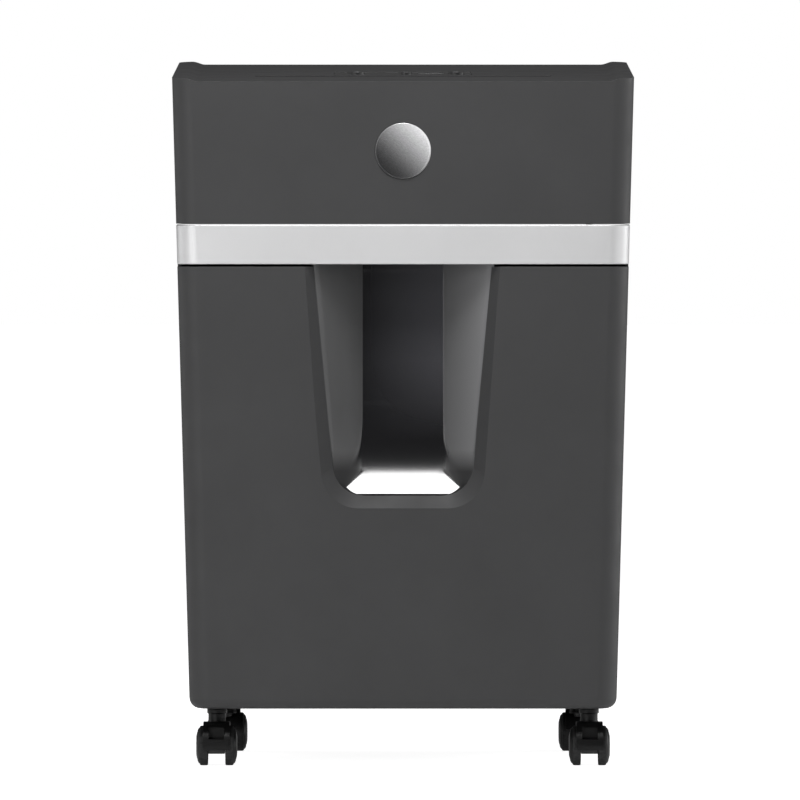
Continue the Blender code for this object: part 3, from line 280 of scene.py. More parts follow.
def smoked_window(name, smoked_shaded_back, frosted_lit_side):
    """Smoked plastic with painted light and shade: a back wall near black, partly painted shade,
    lighter to the right and upward as painted light; side walls a lighter milky grey, partly
    painted light, brightest at the right; dull foot corners.
    """
    material, tree, shader = node_material(name, 0.0, 0.1, 0.5)
    place = tree.nodes.new("ShaderNodeTexCoord")
    axes = tree.nodes.new("ShaderNodeSeparateXYZ")
    tree.links.new(place.outputs["Normal"], axes.inputs["Vector"])
    facing = tree.nodes.new("ShaderNodeMath")
    facing.operation = "ABSOLUTE"
    tree.links.new(axes.outputs["X"], facing.inputs[0])
    facing = facing.outputs[0]
    spot = tree.nodes.new("ShaderNodeSeparateXYZ")
    tree.links.new(place.outputs["Object"], spot.inputs["Vector"])
    x, z = spot.outputs["X"], spot.outputs["Z"]
    above_foot = spread(tree, z, 0, 1, *SIDE_FADE_Z)
    side = times(tree, spread(tree, facing, 0, 1, *SIDE_FACING), above_foot)
    cloud = spread(tree, noise(tree, 30, 4, (1, 1, 0.3)), 0, 1)
    lit_milk = blend_colours(tree, cloud, shade(frosted_lit_side, 0.9), shade(frosted_lit_side, 1.1))
    # Painted light: the side walls grow lighter towards the right.
    painted_light_right = spread(tree, x, 0, 1, *SIDE_LIGHT_FADE_X)
    lit_milk = blend_colours(tree, painted_light_right, lit_milk, shade(frosted_lit_side, SIDE_LIGHT_PAINT))
    # Painted light: the back wall grows lighter towards the right and above the knee.
    across_back = spread(tree, x, 0, 1, *BACK_LIGHT_FADE_X)
    up_back = spread(tree, z, 0, 1, *BACK_LIGHT_FADE_Z)
    painted_light_back = times(tree, across_back, up_back)
    back = blend_colours(tree, painted_light_back, smoked_shaded_back, shade(smoked_shaded_back, BACK_LIGHT_PAINT))
    # Painted shade and light: the back wall is kept near black, and the side walls are lighter.
    paint(tree, shader, blend_colours(tree, side, back, lit_milk))
    turned_away = spread(tree, facing, 0, 1, *CORNER_FACING)
    foot = spread(tree, z, 1, 0, *CORNER_FADE_Z)
    corners = times(tree, turned_away, foot)
    gloss = spread(tree, side, BACK_ROUGHNESS, SIDE_ROUGHNESS, 0.0, 1.0)
    dulled = spread(tree, corners, 0.0, CORNER_DULLING, 0.0, 1.0)
    roughen(tree, shader, add(tree, gloss, dulled))
    bump(tree, shader, noise(tree, 30, 2), 0.05, 0.0004)
    return material


# The badge's painted shade and light run up to the right, and end a little inside the disc.
BADGE_SLANT = math.sqrt(0.5) / BADGE_RADIUS
GRADE_REACH = 0.95


def painted_light_silver(name, dark, light):
    """Silver foil on the badge, with painted shade at the lower left and painted light at the upper
    right.
    """
    material, tree, shader = node_material(name, 0.3, 0.28, 0.5)
    place = tree.nodes.new("ShaderNodeTexCoord")
    along = tree.nodes.new("ShaderNodeVectorMath")
    along.operation = "DOT_PRODUCT"
    along.inputs[1].default_value = (BADGE_SLANT, 0.0, BADGE_SLANT)
    tree.links.new(place.outputs["Object"], along.inputs[0])
    centre = BADGE.z * BADGE_SLANT
    value = along.outputs["Value"]
    painted_grade = spread(tree, value, 0, 1, centre - GRADE_REACH, centre + GRADE_REACH)
    # Painted shade and light across the foil.
    base = blend_colours(tree, times(tree, painted_grade, painted_grade), dark, light)
    paint(tree, shader, edge_wear(tree, base, light, 0.0005, 0.5))
    grain = noise(tree, 900, 4, (1, 1, 14))
    roughen(tree, shader, spread(tree, grain, 0.2, 0.34))
    bump(tree, shader, grain, 0.25, 0.00002)
    return material


def silver_paint(name, colour, roughness=0.36):
    """Silver paint: small flakes that sparkle a little, under a satin lacquer."""
    material, tree, shader = node_material(name, 0.45, roughness, 0.5)
    base = drifting(tree, colour, 10, 3, 0.03)
    paint(tree, shader, edge_wear(tree, base, shade(colour, 0.78), 0.0006, 0.3))
    flakes = noise(tree, 1700, 1)
    roughen(tree, shader, spread(tree, flakes, roughness - 0.05, roughness + 0.07))
    shader.inputs["Coat Weight"].default_value = 0.25
    shader.inputs["Coat Roughness"].default_value = 0.25
    bump(tree, shader, flakes, 0.22, 0.00003)
    return material


def metal(name, colour, roughness=0.32, stretch=(1, 1, 1), scale=500, tarnish=0.8):
    """Bare or plated metal: grain along the way it was worked, patchy tarnish, bright edges."""
    material, tree, shader = node_material(name, 1.0, roughness, 0.5)
    patches = spread(tree, noise(tree, 35, 6), 0, 1, 0.35, 0.75)
    base = blend_colours(tree, patches, colour, shade(colour, tarnish))
    paint(tree, shader, edge_wear(tree, base, shade(colour, 1.35), 0.0005, 0.6))
    grain = noise(tree, scale, 4, stretch)
    roughen(tree, shader, spread(tree, grain, roughness - 0.1, roughness + 0.12))
    bump(tree, shader, grain, 0.3, 0.00003)
    return material


def printed(name, colour, roughness=0.5):
    """Ink of the button symbols: slightly uneven in cover."""
    material, tree, shader = node_material(name, 0.0, roughness, 0.4)
    cover = spread(tree, noise(tree, 900, 3), 0, 1)
    paint(tree, shader, blend_colours(tree, cover, shade(colour, 0.85), colour))
    bump(tree, shader, noise(tree, 2500, 1), 0.3, 0.00002)
    return material


def rubber(name, colour):
    """Wheel treads: dull, dusty, with fine scuffs."""
    material, tree, shader = node_material(name, 0.0, 0.6, 0.4)
    dust = spread(tree, noise(tree, 130, 7), 0, 1, 0.5, 0.8)
    paint(tree, shader, blend_colours(tree, dust, colour, shade(colour, 2.2)))
    scuffs = noise(tree, 350, 5, (1, 5, 1))
    roughen(tree, shader, spread(tree, scuffs, 0.45, 0.8))
    bump(tree, shader, scuffs, 0.5, 0.00008)
    return material


def circuit_board(name):
    """Green solder mask over copper tracks that show as a faint grid."""
    material, tree, shader = node_material(name, 0.0, 0.35, 0.5)
    place = tree.nodes.new("ShaderNodeTexCoord")
    tracks = tree.nodes.new("ShaderNodeTexBrick")
    tracks.inputs["Scale"].default_value = 160
    tracks.inputs["Mortar Size"].default_value = 0.03
    tracks.inputs["Color1"].default_value = (0.012, 0.085, 0.03, 1)
    tracks.inputs["Color2"].default_value = (0.016, 0.11, 0.04, 1)
    tracks.inputs["Mortar"].default_value = (0.05, 0.19, 0.07, 1)
    tree.links.new(place.outputs["Object"], tracks.inputs["Vector"])
    paint(tree, shader, tracks.outputs["Color"])
    roughen(tree, shader, spread(tree, noise(tree, 200, 3), 0.25, 0.45))
    bump(tree, shader, tracks.outputs["Fac"], 0.3, 0.00005)
    return material


def winding(name):
    """Varnished copper wire wound round the armature, as fine turns along the shaft."""
    material, tree, shader = node_material(name, 0.9, 0.3, 0.5)
    place = tree.nodes.new("ShaderNodeTexCoord")
    turns = tree.nodes.new("ShaderNodeTexWave")
    turns.bands_direction = "X"
    turns.inputs["Scale"].default_value = 320
    turns.inputs["Distortion"].default_value = 0.4
    tree.links.new(place.outputs["Object"], turns.inputs["Vector"])
    tone = blend_colours(tree, turns.outputs["Fac"], (0.30, 0.10, 0.04), (0.62, 0.27, 0.13))
    paint(tree, shader, tone)
    roughen(tree, shader, spread(tree, noise(tree, 300, 3), 0.2, 0.45))
    bump(tree, shader, turns.outputs["Fac"], 0.5, 0.0002)
    return material


GREY = moulded_plastic("body_grey", (0.0300, 0.0300, 0.0308), 0.58, specular=0.35)
SILVER = silver_paint("band_silver", (0.540, 0.540, 0.545), 0.48)
# The window's colours: a near-black back wall that is partly painted shade, and lighter side walls
# that are partly painted light.
SMOKED = smoked_window("smoked_window", (0.0060, 0.0060, 0.0066), (0.0500, 0.0500, 0.0510))
PANEL_BLACK = gloss_plastic("panel_black", (0.0080, 0.0080, 0.0085), 0.07, 0.8)
# The throat is black plastic made near black and nearly without gloss, so that it also paints the
# shade in the feed slot.
THROAT_BLACK = moulded_plastic("throat_black", (0.0030, 0.0030, 0.0031), 0.90, 0.3, specular=0.02)
INNER_BLACK = moulded_plastic("inner_black", (0.0180, 0.0180, 0.0190), 0.58, 0.5, 700)
CASTER_BLACK = moulded_plastic(
    "caster_black", (0.0045, 0.0045, 0.0046), 0.36, 0.15, 1200, specular=0.20
)
TREAD = rubber("caster_tread", (0.0040, 0.0040, 0.0041))
BUTTON_BLACK = moulded_plastic("button_black", (0.0150, 0.0150, 0.0155), 0.38, 0.2, 1500)
SYMBOL = printed("symbol_grey", (0.20, 0.20, 0.205))
LENS = moulded_plastic("lens_milky", (0.06, 0.06, 0.062), 0.3, 0.1, 1500, worn=False)
NYLON = moulded_plastic("white_nylon", (0.66, 0.65, 0.60), 0.45, 0.25, 900)
# The badge is painted from shade at the lower left to light at the upper right.
BADGE_SILVER = painted_light_silver("badge_silver", (0.030, 0.030, 0.031), (0.74, 0.74, 0.75))
ZINC = metal("zinc_plate", (0.55, 0.55, 0.53), 0.38, (1, 1, 1), 120, 0.82)
BLACK_STEEL = metal("black_oxide_steel", (0.045, 0.045, 0.045), 0.45, (1, 1, 1), 400, 0.8)
KNIFE_STEEL = metal("knife_steel", (0.50, 0.49, 0.47), 0.28, (14, 1, 1), 300, 0.7)
GEAR_STEEL = metal("gear_steel", (0.42, 0.41, 0.40), 0.42, (1, 1, 1), 600, 0.75)
BRASS = metal("sintered_brass", (0.58, 0.41, 0.17), 0.40, (1, 1, 1), 1500, 0.75)
STATOR = metal("stator_steel", (0.36, 0.36, 0.37), 0.45, (30, 1, 1), 200, 0.7)
WINDING = winding("armature_winding")
BOARD = circuit_board("board_green")


# ---- mesh tools


def new_object(name, mesh):
    obj = bpy.data.objects.new(name, mesh)
    bpy.context.scene.collection.objects.link(obj)
    return obj


def from_bmesh(bm, name):
    bmesh.ops.recalc_face_normals(bm, faces=bm.faces)
    mesh = bpy.data.meshes.new(name)
    bm.to_mesh(mesh)
    bm.free()
    return new_object(name, mesh)


def corner_points(half_x, low_y, high_y, radius, steps=14):
    """A rounded rectangle, counter-clockwise."""
    corners = (
        (half_x, high_y, 0),
        (-half_x, high_y, 90),
        (-half_x, low_y, 180),
        (half_x, low_y, 270),
    )
    points = []
    for x, y, start in corners:
        cx = x - math.copysign(radius, x)
        cy = y - math.copysign(radius, y)
        for k in range(steps + 1):
            angle = math.radians(start + 90 * k / steps)
            points.append((cx + radius * math.cos(angle), cy + radius * math.sin(angle)))
    return points


def drafted_ring(z, inset=0.0, radius=CORNER_RADIUS):
    half, depth = half_width(z) - inset, half_depth(z) - inset
    return [(x, y, z) for x, y in corner_points(half, -depth, depth, radius)]


def lofted(name, rings, closed=True):
    """Skin rings that have the same number of points, with a cap at each end."""
    bm = bmesh.new()
    made = [[bm.verts.new(point) for point in ring] for ring in rings]
    for ring, following in zip(made, made[1:]):
        count = len(ring)
        for k in range(count if closed else count - 1):
            after = (k + 1) % count
            bm.faces.new((ring[k], ring[after], following[after], following[k]))
    if closed:
        bm.faces.new(made[0])
        bm.faces.new(made[-1])
    return from_bmesh(bm, name)


def drafted_block(name, bottom, top, inset=0.0, foot=0.0, radius=CORNER_RADIUS):
    """A block that follows the body's draft, with round upright edges and a round foot."""
    rings = []
    steps = 6 if foot else 0
    for k in range(steps):
        angle = math.radians(90 * k / steps)
        pull = foot * (1 - math.sin(angle))
        z = bottom + foot * (1 - math.cos(angle))
        rings.append(drafted_ring(z, inset + pull, max(radius - pull, 0.002)))
    rings.append(drafted_ring(bottom + foot, inset, radius))
    rings.append(drafted_ring(top, inset, radius))
    return lofted(name, rings)


def box(name, low, high):
    bm = bmesh.new()
    bmesh.ops.create_cube(bm, size=1.0)
    low, high = Vector(low), Vector(high)
    for vert in bm.verts:
        vert.co = Vector([co * side for co, side in zip(vert.co, high - low)]) + (low + high) / 2
    return from_bmesh(bm, name)


def turned(name, profile, steps=48, axis="Z"):
    """Turn a profile of (radius, height) about an axis. Radius 0 closes an end."""
    bm = bmesh.new()
    rings = []
    for radius, height in profile:
        if radius < 1e-7:
            rings.append([bm.verts.new((0, 0, height))])
            continue
        ring = []
        for k in range(steps):
            angle = 2 * math.pi * k / steps
            ring.append(bm.verts.new((radius * math.cos(angle), radius * math.sin(angle), height)))
        rings.append(ring)
    pairs = list(zip(rings, rings[1:]))
    if len(rings[0]) > 1:
        pairs.append((rings[-1], rings[0]))
    for ring, following in pairs:
        for k in range(steps):
            corners = [ring[k % len(ring)], ring[(k + 1) % len(ring)]]
            corners += [following[(k + 1) % len(following)], following[k % len(following)]]
            bm.faces.new(list(dict.fromkeys(corners)))
    turn = {"X": Euler((0, math.pi / 2, 0)), "Y": Euler((-math.pi / 2, 0, 0)), "Z": Euler()}[axis]
    bmesh.ops.rotate(bm, verts=bm.verts, cent=(0, 0, 0), matrix=turn.to_matrix())
    return from_bmesh(bm, name)


def prism(name, outlines, start, end, plane="YZ"):
    """A flat outline with holes, extruded between two places along the third axis."""
    curve = bpy.data.curves.new(name, "CURVE")
    curve.dimensions = "2D"
    curve.fill_mode = "BOTH"
    curve.extrude = abs(end - start) / 2
    for outline in outlines:
        spline = curve.splines.new("POLY")
        spline.points.add(len(outline) - 1)
        for point, (across, up) in zip(spline.points, outline):
            point.co = (across, up, 0, 1)
        spline.use_cyclic_u = True
    source = new_object(name + "_outline", curve)
    bpy.context.view_layer.update()
    graph = bpy.context.evaluated_depsgraph_get()
    mesh = bpy.data.meshes.new_from_object(source.evaluated_get(graph))
    bpy.data.objects.remove(source, do_unlink=True)
    turn = {
        "YZ": Euler((math.pi / 2, 0, math.pi / 2)),
        "XZ": Euler((math.pi / 2, 0, 0)),
        "XY": Euler(),
    }[plane]
    offset = {"YZ": Vector((1, 0, 0)), "XZ": Vector((0, 1, 0)), "XY": Vector((0, 0, 1))}[plane]
    mesh.transform(Matrix.Translation(offset * (start + end) / 2) @ turn.to_matrix().to_4x4())
    bm = bmesh.new()
    bm.from_mesh(mesh)
    bmesh.ops.remove_doubles(bm, verts=bm.verts, dist=1e-6)
    bpy.data.meshes.remove(mesh)
    return from_bmesh(bm, name)


def rod(name, radius, low, high, steps=48, axis="Z"):
    """A solid cylinder about an axis through the origin."""
    return turned(name, [(0, high), (radius, high), (radius, low), (0, low)], steps, axis)


def arc(across, up, radius, start, end, steps):
    """Points on an arc between two angles in degrees."""
    angles = [math.radians(start + (end - start) * k / steps) for k in range(steps + 1)]
    return [(across + radius * math.cos(a), up + radius * math.sin(a)) for a in angles]


def circle(across, up, radius, steps=32):
    return arc(across, up, radius, 0, 360 - 360 / steps, steps - 1)


def move(obj, matrix):
    obj.data.transform(matrix)
    return obj


def shift(obj, x=0.0, y=0.0, z=0.0):
    return move(obj, Matrix.Translation((x, y, z)))


def bake_modifiers(obj):
    bpy.context.view_layer.update()
    graph = bpy.context.evaluated_depsgraph_get()
    mesh = bpy.data.meshes.new_from_object(obj.evaluated_get(graph))
    obj.modifiers.clear()
    obj.data = mesh


def cut(obj, *others, operation="DIFFERENCE"):
    """Cut others from obj, or join them to it, and drop them."""
    for other in others:
        modifier = obj.modifiers.new("cut", "BOOLEAN")
        modifier.operation = operation
        modifier.solver = "EXACT"
        modifier.object = other
        bake_modifiers(obj)
        bpy.data.objects.remove(other, do_unlink=True)
    return obj


def join(obj, *others):
    return cut(obj, *others, operation="UNION")


def soften(obj, width=0.0004, segments=3, angle=32):
    """Round every hard edge a little, and keep the flats flat in shading."""
    if width:
        bevel = obj.modifiers.new("edge", "BEVEL")
        bevel.width = width
        bevel.segments = segments
        bevel.limit_method = "ANGLE"
        bevel.angle_limit = math.radians(angle)
        bevel.use_clamp_overlap = True
        bevel.harden_normals = False
    obj.data.shade_smooth()
    obj.data.set_sharp_from_angle(angle=math.radians(angle + 8))
    weighted = obj.modifiers.new("shading", "WEIGHTED_NORMAL")
    weighted.keep_sharp = True
    return obj


def weld(obj, distance=1e-5):
    bm = bmesh.new()
    bm.from_mesh(obj.data)
    bmesh.ops.remove_doubles(bm, verts=bm.verts, dist=distance)
    bmesh.ops.dissolve_degenerate(bm, edges=bm.edges, dist=distance)
    bm.to_mesh(obj.data)
    bm.free()
    return obj


def done(obj, material, body, *nodes, slot=None):
    """Give a piece its material, its body, and the CAD nodes that it stands for."""
    obj.data.materials.clear()
    obj.data.materials.append(material)
    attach(obj, body)
    if nodes:
        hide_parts(*nodes)
    return obj


# ---- casings


def front_cutter(name, keep):
    """A block on one side of the seam between the bin front and the cabinet."""
    if keep == "front":
        return box(name, (-LARGE, WRAP_Y, -LARGE), (LARGE, LARGE, LARGE))
    return box(name, (-LARGE, -LARGE, -LARGE), (LARGE, SHELL_LOW.y, LARGE))


STEM_HOLE_RADIUS = 0.0046
STEM_HOLE_TOP = 0.2
BAND_SKIN = 0.0040
# The tab behind the band that pushes the interlock's plunger up.
TAB_HALF = 0.0080
TAB_HEIGHT = 0.0040
TAB_DROP = 0.0002


def make_cabinet():
    shell = drafted_block("cabinet", BODY_BOTTOM, SHELL_HIGH.z, foot=FOOT_RADIUS)
    low = BODY_BOTTOM + WALL
    hollow = drafted_block("hollow", low, LARGE, WALL, FOOT_RADIUS - WALL, CORNER_RADIUS - WALL)
    cut(shell, hollow, front_cutter("front", "rear"))
    for name in PLACES:
        x, y, _ = middle(f"caster_stem_{name}")
        cut(shell, shift(rod("stem_hole", STEM_HOLE_RADIUS, 0, STEM_HOLE_TOP), x, y))
    soften(weld(shell), 0.0005)
    done(shell, GREY, "cabinet", "cabinet_shell", slot="body_grey_plastic")


def rounded_u(top_half, slope, bottom, radius, top, steps=18):
    """A U outline in (across, height), with sides that lean in, round corners and an open top."""

    def side(z):
        return top_half - slope * (BAND_BOTTOM - z)

    lean = math.atan(slope)
    centre_z = bottom + radius
    centre_x = side(centre_z) - radius / math.cos(lean)
    right = [(side(top), top)] + arc(centre_x, centre_z, radius, -math.degrees(lean), -90, steps)
    return right + [(-x, z) for x, z in reversed(right)]


def on_face(x, z, depth):
    return (x, -half_depth(z) + depth, z)


def scoop_cutter(name):
    """The scoop's opening, which narrows from the outer U at the face to the inner U behind it."""
    outer = rounded_u(SCOOP_TOP_HALF, SCOOP_SIDE_SLOPE, SCOOP_BOTTOM, SCOOP_CORNER, HEAD_BOTTOM)
    corner = SCOOP_INNER_CORNER
    inner = rounded_u(SCOOP_INNER_HALF, SCOOP_INNER_SLOPE, SCOOP_EDGE, corner, HEAD_BOTTOM)
    rings = []
    for depth in (-SCOOP_CUT_LEAD, SCOOP_RIM_DEPTH + SCOOP_CUT_OVERRUN):
        share = depth / SCOOP_RIM_DEPTH
        ring = []
        for (x_out, z_out), (x_in, z_in) in zip(outer, inner):
            x = x_out + (x_in - x_out) * share
            z = z_out + (z_in - z_out) * share
            ring.append(on_face(x, z, depth))
        rings.append(ring)
    return lofted(name, rings)


def hollow_front(obj, skin, bottom, foot):
    """Hollow a front piece to its skin, and leave it thicker round the scoop."""
    half = SCOOP_TOP_HALF + BOSS_MARGIN
    thin = drafted_block("thin", bottom, LARGE, skin, foot, CORNER_RADIUS - skin)
    cut(thin, box("boss", (-half, -LARGE, SCOOP_BOTTOM - BOSS_MARGIN), (half, 0, LARGE)))
    thick_bottom = max(bottom, SCOOP_BOTTOM - BOSS_MARGIN * 2)
    thick = drafted_block("thick", thick_bottom, LARGE, SCOOP_RIM_DEPTH, 0.0, CORNER_RADIUS / 2)
    cut(obj, thin, thick)


def make_bin_front():
    panel = drafted_block("bin_front", BODY_BOTTOM, FRONT_HIGH.z, foot=FOOT_RADIUS)
    cut(panel, front_cutter("rear", "front"))
    hollow_front(panel, WALL, BODY_BOTTOM + WALL, FOOT_RADIUS - WALL)
    cut(panel, scoop_cutter("scoop"))
    soften(weld(panel), 0.0006, angle=24)
    done(panel, GREY, "bin", "bin_front_panel", slot="body_grey_plastic")


def make_band():
    """The silver band, and the tab behind it."""
    band = drafted_block("pull_band", BAND_BOTTOM, BAND_TOP)
    cut(band, front_cutter("rear", "front"))
    hollow_front(band, BAND_SKIN, BODY_BOTTOM, 0.0)
    soften(weld(band), 0.0009, segments=4, angle=40)
    done(band, SILVER, "bin", "trim_band", slot="trim_silver")
    x = middle("interlock_plunger").x
    tab_low = Vector((x - TAB_HALF, BAND_LOW.y + BAND_SKIN + GAP, BAND_TOP - TAB_HEIGHT))
    tab_high = (tab_low.x + TAB_HALF * 2, WRAP_Y - SEAM, BAND_TOP - TAB_DROP)
    tab = box("switch_tab", tab_low, tab_high)
    soften(tab, 0.0004)
    done(tab, INNER_BLACK, "bin", slot="inner_black_plastic")


PANEL = middle("control_panel")
DISH_TURN = Euler((DISH_SLOPE, 0, 0)).to_matrix().to_4x4()


def dish_z(y):
    return DISH_FRONT_Z + (y + half_depth(DISH_FRONT_Z)) * math.tan(DISH_SLOPE)


def dish_cutter(name, drop):
    """What is cut off above the dish. The rims meet the dish in soft ramps."""
    half = half_width(DISH_FRONT_Z) - drop
    rim = half - RIM_WIDTH
    ramp = []
    for k in range(RAMP_STEPS + 1):
        share = k / RAMP_STEPS
        rise = RIM_RAISE * (1 + math.cos(math.pi * share)) / 2
        ramp.append((-rim + RIM_RAMP * share, rise))
    outline = [(-LARGE, LARGE), (-LARGE, RIM_RAISE)] + ramp
    outline += [(-x, z) for x, z in reversed(outline)]
    cutter = prism(name, [outline], -LARGE, LARGE, plane="XZ")
    place = Matrix.Translation((0, -half_depth(DISH_FRONT_Z), DISH_FRONT_Z - drop))
    return move(cutter, place @ DISH_TURN)


def on_dish(obj, x=0.0, y=None, lift=0.0):
    """Stand an object on the dish, square to its slope."""
    y = PANEL.y if y is None else y
    place = Matrix.Translation((x, y, dish_z(y)))
    return move(obj, place @ DISH_TURN @ Matrix.Translation((0, 0, lift)))


def on_front(obj, x, z, depth):
    """Put an object's origin behind the front face at a height, square to the leaning face."""
    lean = Euler((-math.atan(FACE_DRAFT), 0, 0)).to_matrix().to_4x4()
    place = Matrix.Translation((x, -half_depth(z), z))
    return move(obj, place @ lean @ Matrix.Translation((0, depth, 0)))


def rounded_bar(name, length, width, radius, low, high, steps=8):
    """An upright bar with round corners, between two heights."""
    outline = corner_points(length / 2, -width / 2, width / 2, radius, steps)
    return lofted(name, [[(x, y, z) for x, y in outline] for z in (low, high)])


THROAT_LOW, THROAT_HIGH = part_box("feed_throat")
GLAND = middle("cord_gland")
SLOT_CORNER = 0.0012
SLOT_LOW = 0.4500
SLOT_HIGH = 0.6000
SEAT_REACH = 0.0120
HEAD_STOCK = 0.0500
HEAD_SOFT = 0.0017
GLAND_BORE = 0.0066
BORE_REACH = 0.0200
POCKET_DEPTH = 0.0010
POCKET_CUT = 0.0100
VENT_COUNT = 8
VENT_PITCH = 0.0090
VENT_WIDTH = 0.0032
VENT_HEIGHT = 0.0300
VENT_ROUNDING = 0.49
VENT_X = 0.0700
VENT_Z = HEAD_BOTTOM + 0.0560
PANEL_LENGTH = 0.1040
PANEL_WIDTH = 0.0400
BUTTONS = (("button_reverse", 0.0060), ("button_power", 0.0045), ("button_forward", 0.0060))


def make_head():
    head = drafted_block("head", HEAD_BOTTOM, DISH_FRONT_Z + HEAD_STOCK)
    cut(head, dish_cutter("dish", 0.0))
    hollow = drafted_block("hollow", BAND_BOTTOM, LARGE, WALL, 0.0, CORNER_RADIUS - WALL)
    cut(hollow, dish_cutter("under_dish", WALL))
    cut(head, hollow)
    middle_y = (THROAT_LOW.y + THROAT_HIGH.y) / 2
    length = THROAT_HIGH.x - THROAT_LOW.x + GAP * 2
    width = THROAT_HIGH.y - THROAT_LOW.y + GAP * 2
    slot = rounded_bar("slot", length, width, SLOT_CORNER, SLOT_LOW, SLOT_HIGH)
    cut(head, shift(slot, y=middle_y))
    seat = Vector((PANEL_LENGTH / 2 + GAP, PANEL_WIDTH / 2 + GAP, SEAT_REACH))
    cut(head, on_dish(box("seat", -seat, seat)))
    pocket = rod("pocket", BADGE_RADIUS + GAP, -POCKET_CUT, 0, 96, "Y")
    cut(head, on_front(pocket, 0, BADGE.z, POCKET_DEPTH))
    for k in range(VENT_COUNT):
        x = VENT_X + (k - (VENT_COUNT - 1) / 2) * VENT_PITCH
        rounding = VENT_WIDTH * VENT_ROUNDING
        bar = rounded_bar("vent", VENT_WIDTH, VENT_HEIGHT, rounding, -BORE_REACH, BORE_REACH, 6)
        turn = Euler((math.pi / 2, 0, 0)).to_matrix().to_4x4()
        cut(head, move(bar, Matrix.Translation((x, half_depth(VENT_Z), VENT_Z)) @ turn))
    bore = rod("bore", GLAND_BORE, -BORE_REACH, BORE_REACH, 40, "Y")
    cut(head, shift(bore, GLAND.x, half_depth(GLAND.z), GLAND.z))
    soften(weld(head), HEAD_SOFT, segments=4, angle=40)
    done(head, GREY, "cabinet", "head_cover", slot="body_grey_plastic")


BADGE_RISE = 0.0006


def make_badge():
    """A plain spun disc with a raised ring round it, sunk into its pocket."""
    rim, rise = BADGE_RADIUS, BADGE_RISE
    profile = [
        (0, -POCKET_DEPTH),
        (rim, -POCKET_DEPTH),
        (rim, rise - 0.0003),
        (rim - 0.0004, rise),
        (rim - 0.0011, rise),
        (rim - 0.0016, rise - 0.00035),
        (rim * 0.5, rise - 0.00020),
        (0, rise - 0.00015),
    ]
    disc = turned("badge", [(radius, -height) for radius, height in reversed(profile)], 96, "Y")
    on_front(disc, 0, BADGE.z, 0.0)
    soften(disc, 0.0)
    done(disc, BADGE_SILVER, "cabinet", "badge_disc", slot="badge_silver")


# Each of these is a length, a width and a corner radius.
LENS_SIZE = (0.0200, 0.0050, 0.0022)
LENS_HOLE_SIZE = (0.0206, 0.0056, 0.0024)
LENS_THICKNESS = 0.0024
PANEL_CORNER = 0.0016
PANEL_THICKNESS = 0.0025
PANEL_SINK = 0.0002
PANEL_CUT = 0.0100


def make_panel():
    """The gloss panel, with holes for the buttons and the lens."""
    panel = rounded_bar("panel", PANEL_LENGTH, PANEL_WIDTH, PANEL_CORNER, -PANEL_THICKNESS, 0.0)
    for name, radius in BUTTONS:
        x = middle(name).x
        cut(panel, shift(rod("hole", radius + GAP, -PANEL_CUT, PANEL_CUT), x))
    hole = rounded_bar("lens_hole", *LENS_HOLE_SIZE, -PANEL_CUT, PANEL_CUT)
    cut(panel, shift(hole, middle("status_lens").x))
    on_dish(panel, lift=-PANEL_SINK)
    soften(weld(panel), 0.0003)
    done(panel, PANEL_BLACK, "cabinet", "control_panel", slot="panel_gloss_black")


def make_lens():
    lens = rounded_bar("light_lens", *LENS_SIZE, -LENS_THICKNESS, 0.0)
    on_dish(lens, middle("status_lens").x)
    soften(lens, 0.0005)
    done(lens, LENS, "cabinet", "status_lens", slot="lens_white")


BUTTON_FOOT = -0.0040
SYMBOL_SHARE = 0.42
SYMBOL_LOW = 0.0009
SYMBOL_HIGH = 0.00115
# The power symbol's ring is open at the top, between these angles in degrees.
RING_START = 125
RING_END = 415
RING_INNER_SHARE = 0.72
RING_STEPS = 24


def make_buttons():
    """Round buttons with a dished top, and a printed symbol on each."""
    for name, radius in BUTTONS:
        x = middle(name).x
        body = name.replace("button_", "") + "_button"
        profile = [
            (0, 0.00085),
            (radius * 0.45, 0.00092),
            (radius * 0.75, 0.00112),
            (radius - 0.0005, 0.0012),
            (radius - 0.00015, 0.00105),
            (radius, 0.0007),
            (radius, BUTTON_FOOT),
            (0, BUTTON_FOOT),
        ]
        button = on_dish(turned(name + "_cap", profile, 64), x)
        soften(button, 0.0)
        done(button, BUTTON_BLACK, body, name, slot="button_black")
        mark = make_symbol(name, radius)
        on_dish(mark, x)
        done(mark, SYMBOL, body)


def make_symbol(name, radius):
    """A left arrow, a ring with a bar, or a right arrow, as a thin print on the button."""
    size = radius * SYMBOL_SHARE
    low, high = SYMBOL_LOW, SYMBOL_HIGH
    if name == "button_power":
        ring = arc(0, 0, size, RING_START, RING_END, RING_STEPS)
        ring += arc(0, 0, size * RING_INNER_SHARE, RING_END, RING_START, RING_STEPS)
        mark = prism(name + "_symbol", [ring], low, high, "XY")
        bar = box("bar", (-size * 0.14, size * 0.2, low), (size * 0.14, size * 1.1, high))
        return join(mark, bar)
    way = -1 if name == "button_reverse" else 1
    outline = [(way * size, 0), (-way * size * 0.7, size * 0.95), (-way * size * 0.7, -size * 0.95)]
    return prism(name + "_symbol", [outline], low, high, "XY")


# ---- scoop window


# The crease between the window's back wall and its sides has a radius that grows towards the foot.
CREASE_SOFT = 0.0003
FOOT_SOFT = 0.0200
FOOT_SPREAD = 0.0180
FOOT_SPREAD_POWER = 3.2
CREASE_ROOM = 0.0012
THINNEST = 0.0004
SIDE_STEPS = 8
CREASE_STEPS = 8
BACK_STEPS = 12
SCOOP_ROWS = 96
# Above 1, this packs the rows towards the foot.
ROW_EASE = 1.6
SCOOP_FOOT_GAP = 0.0001


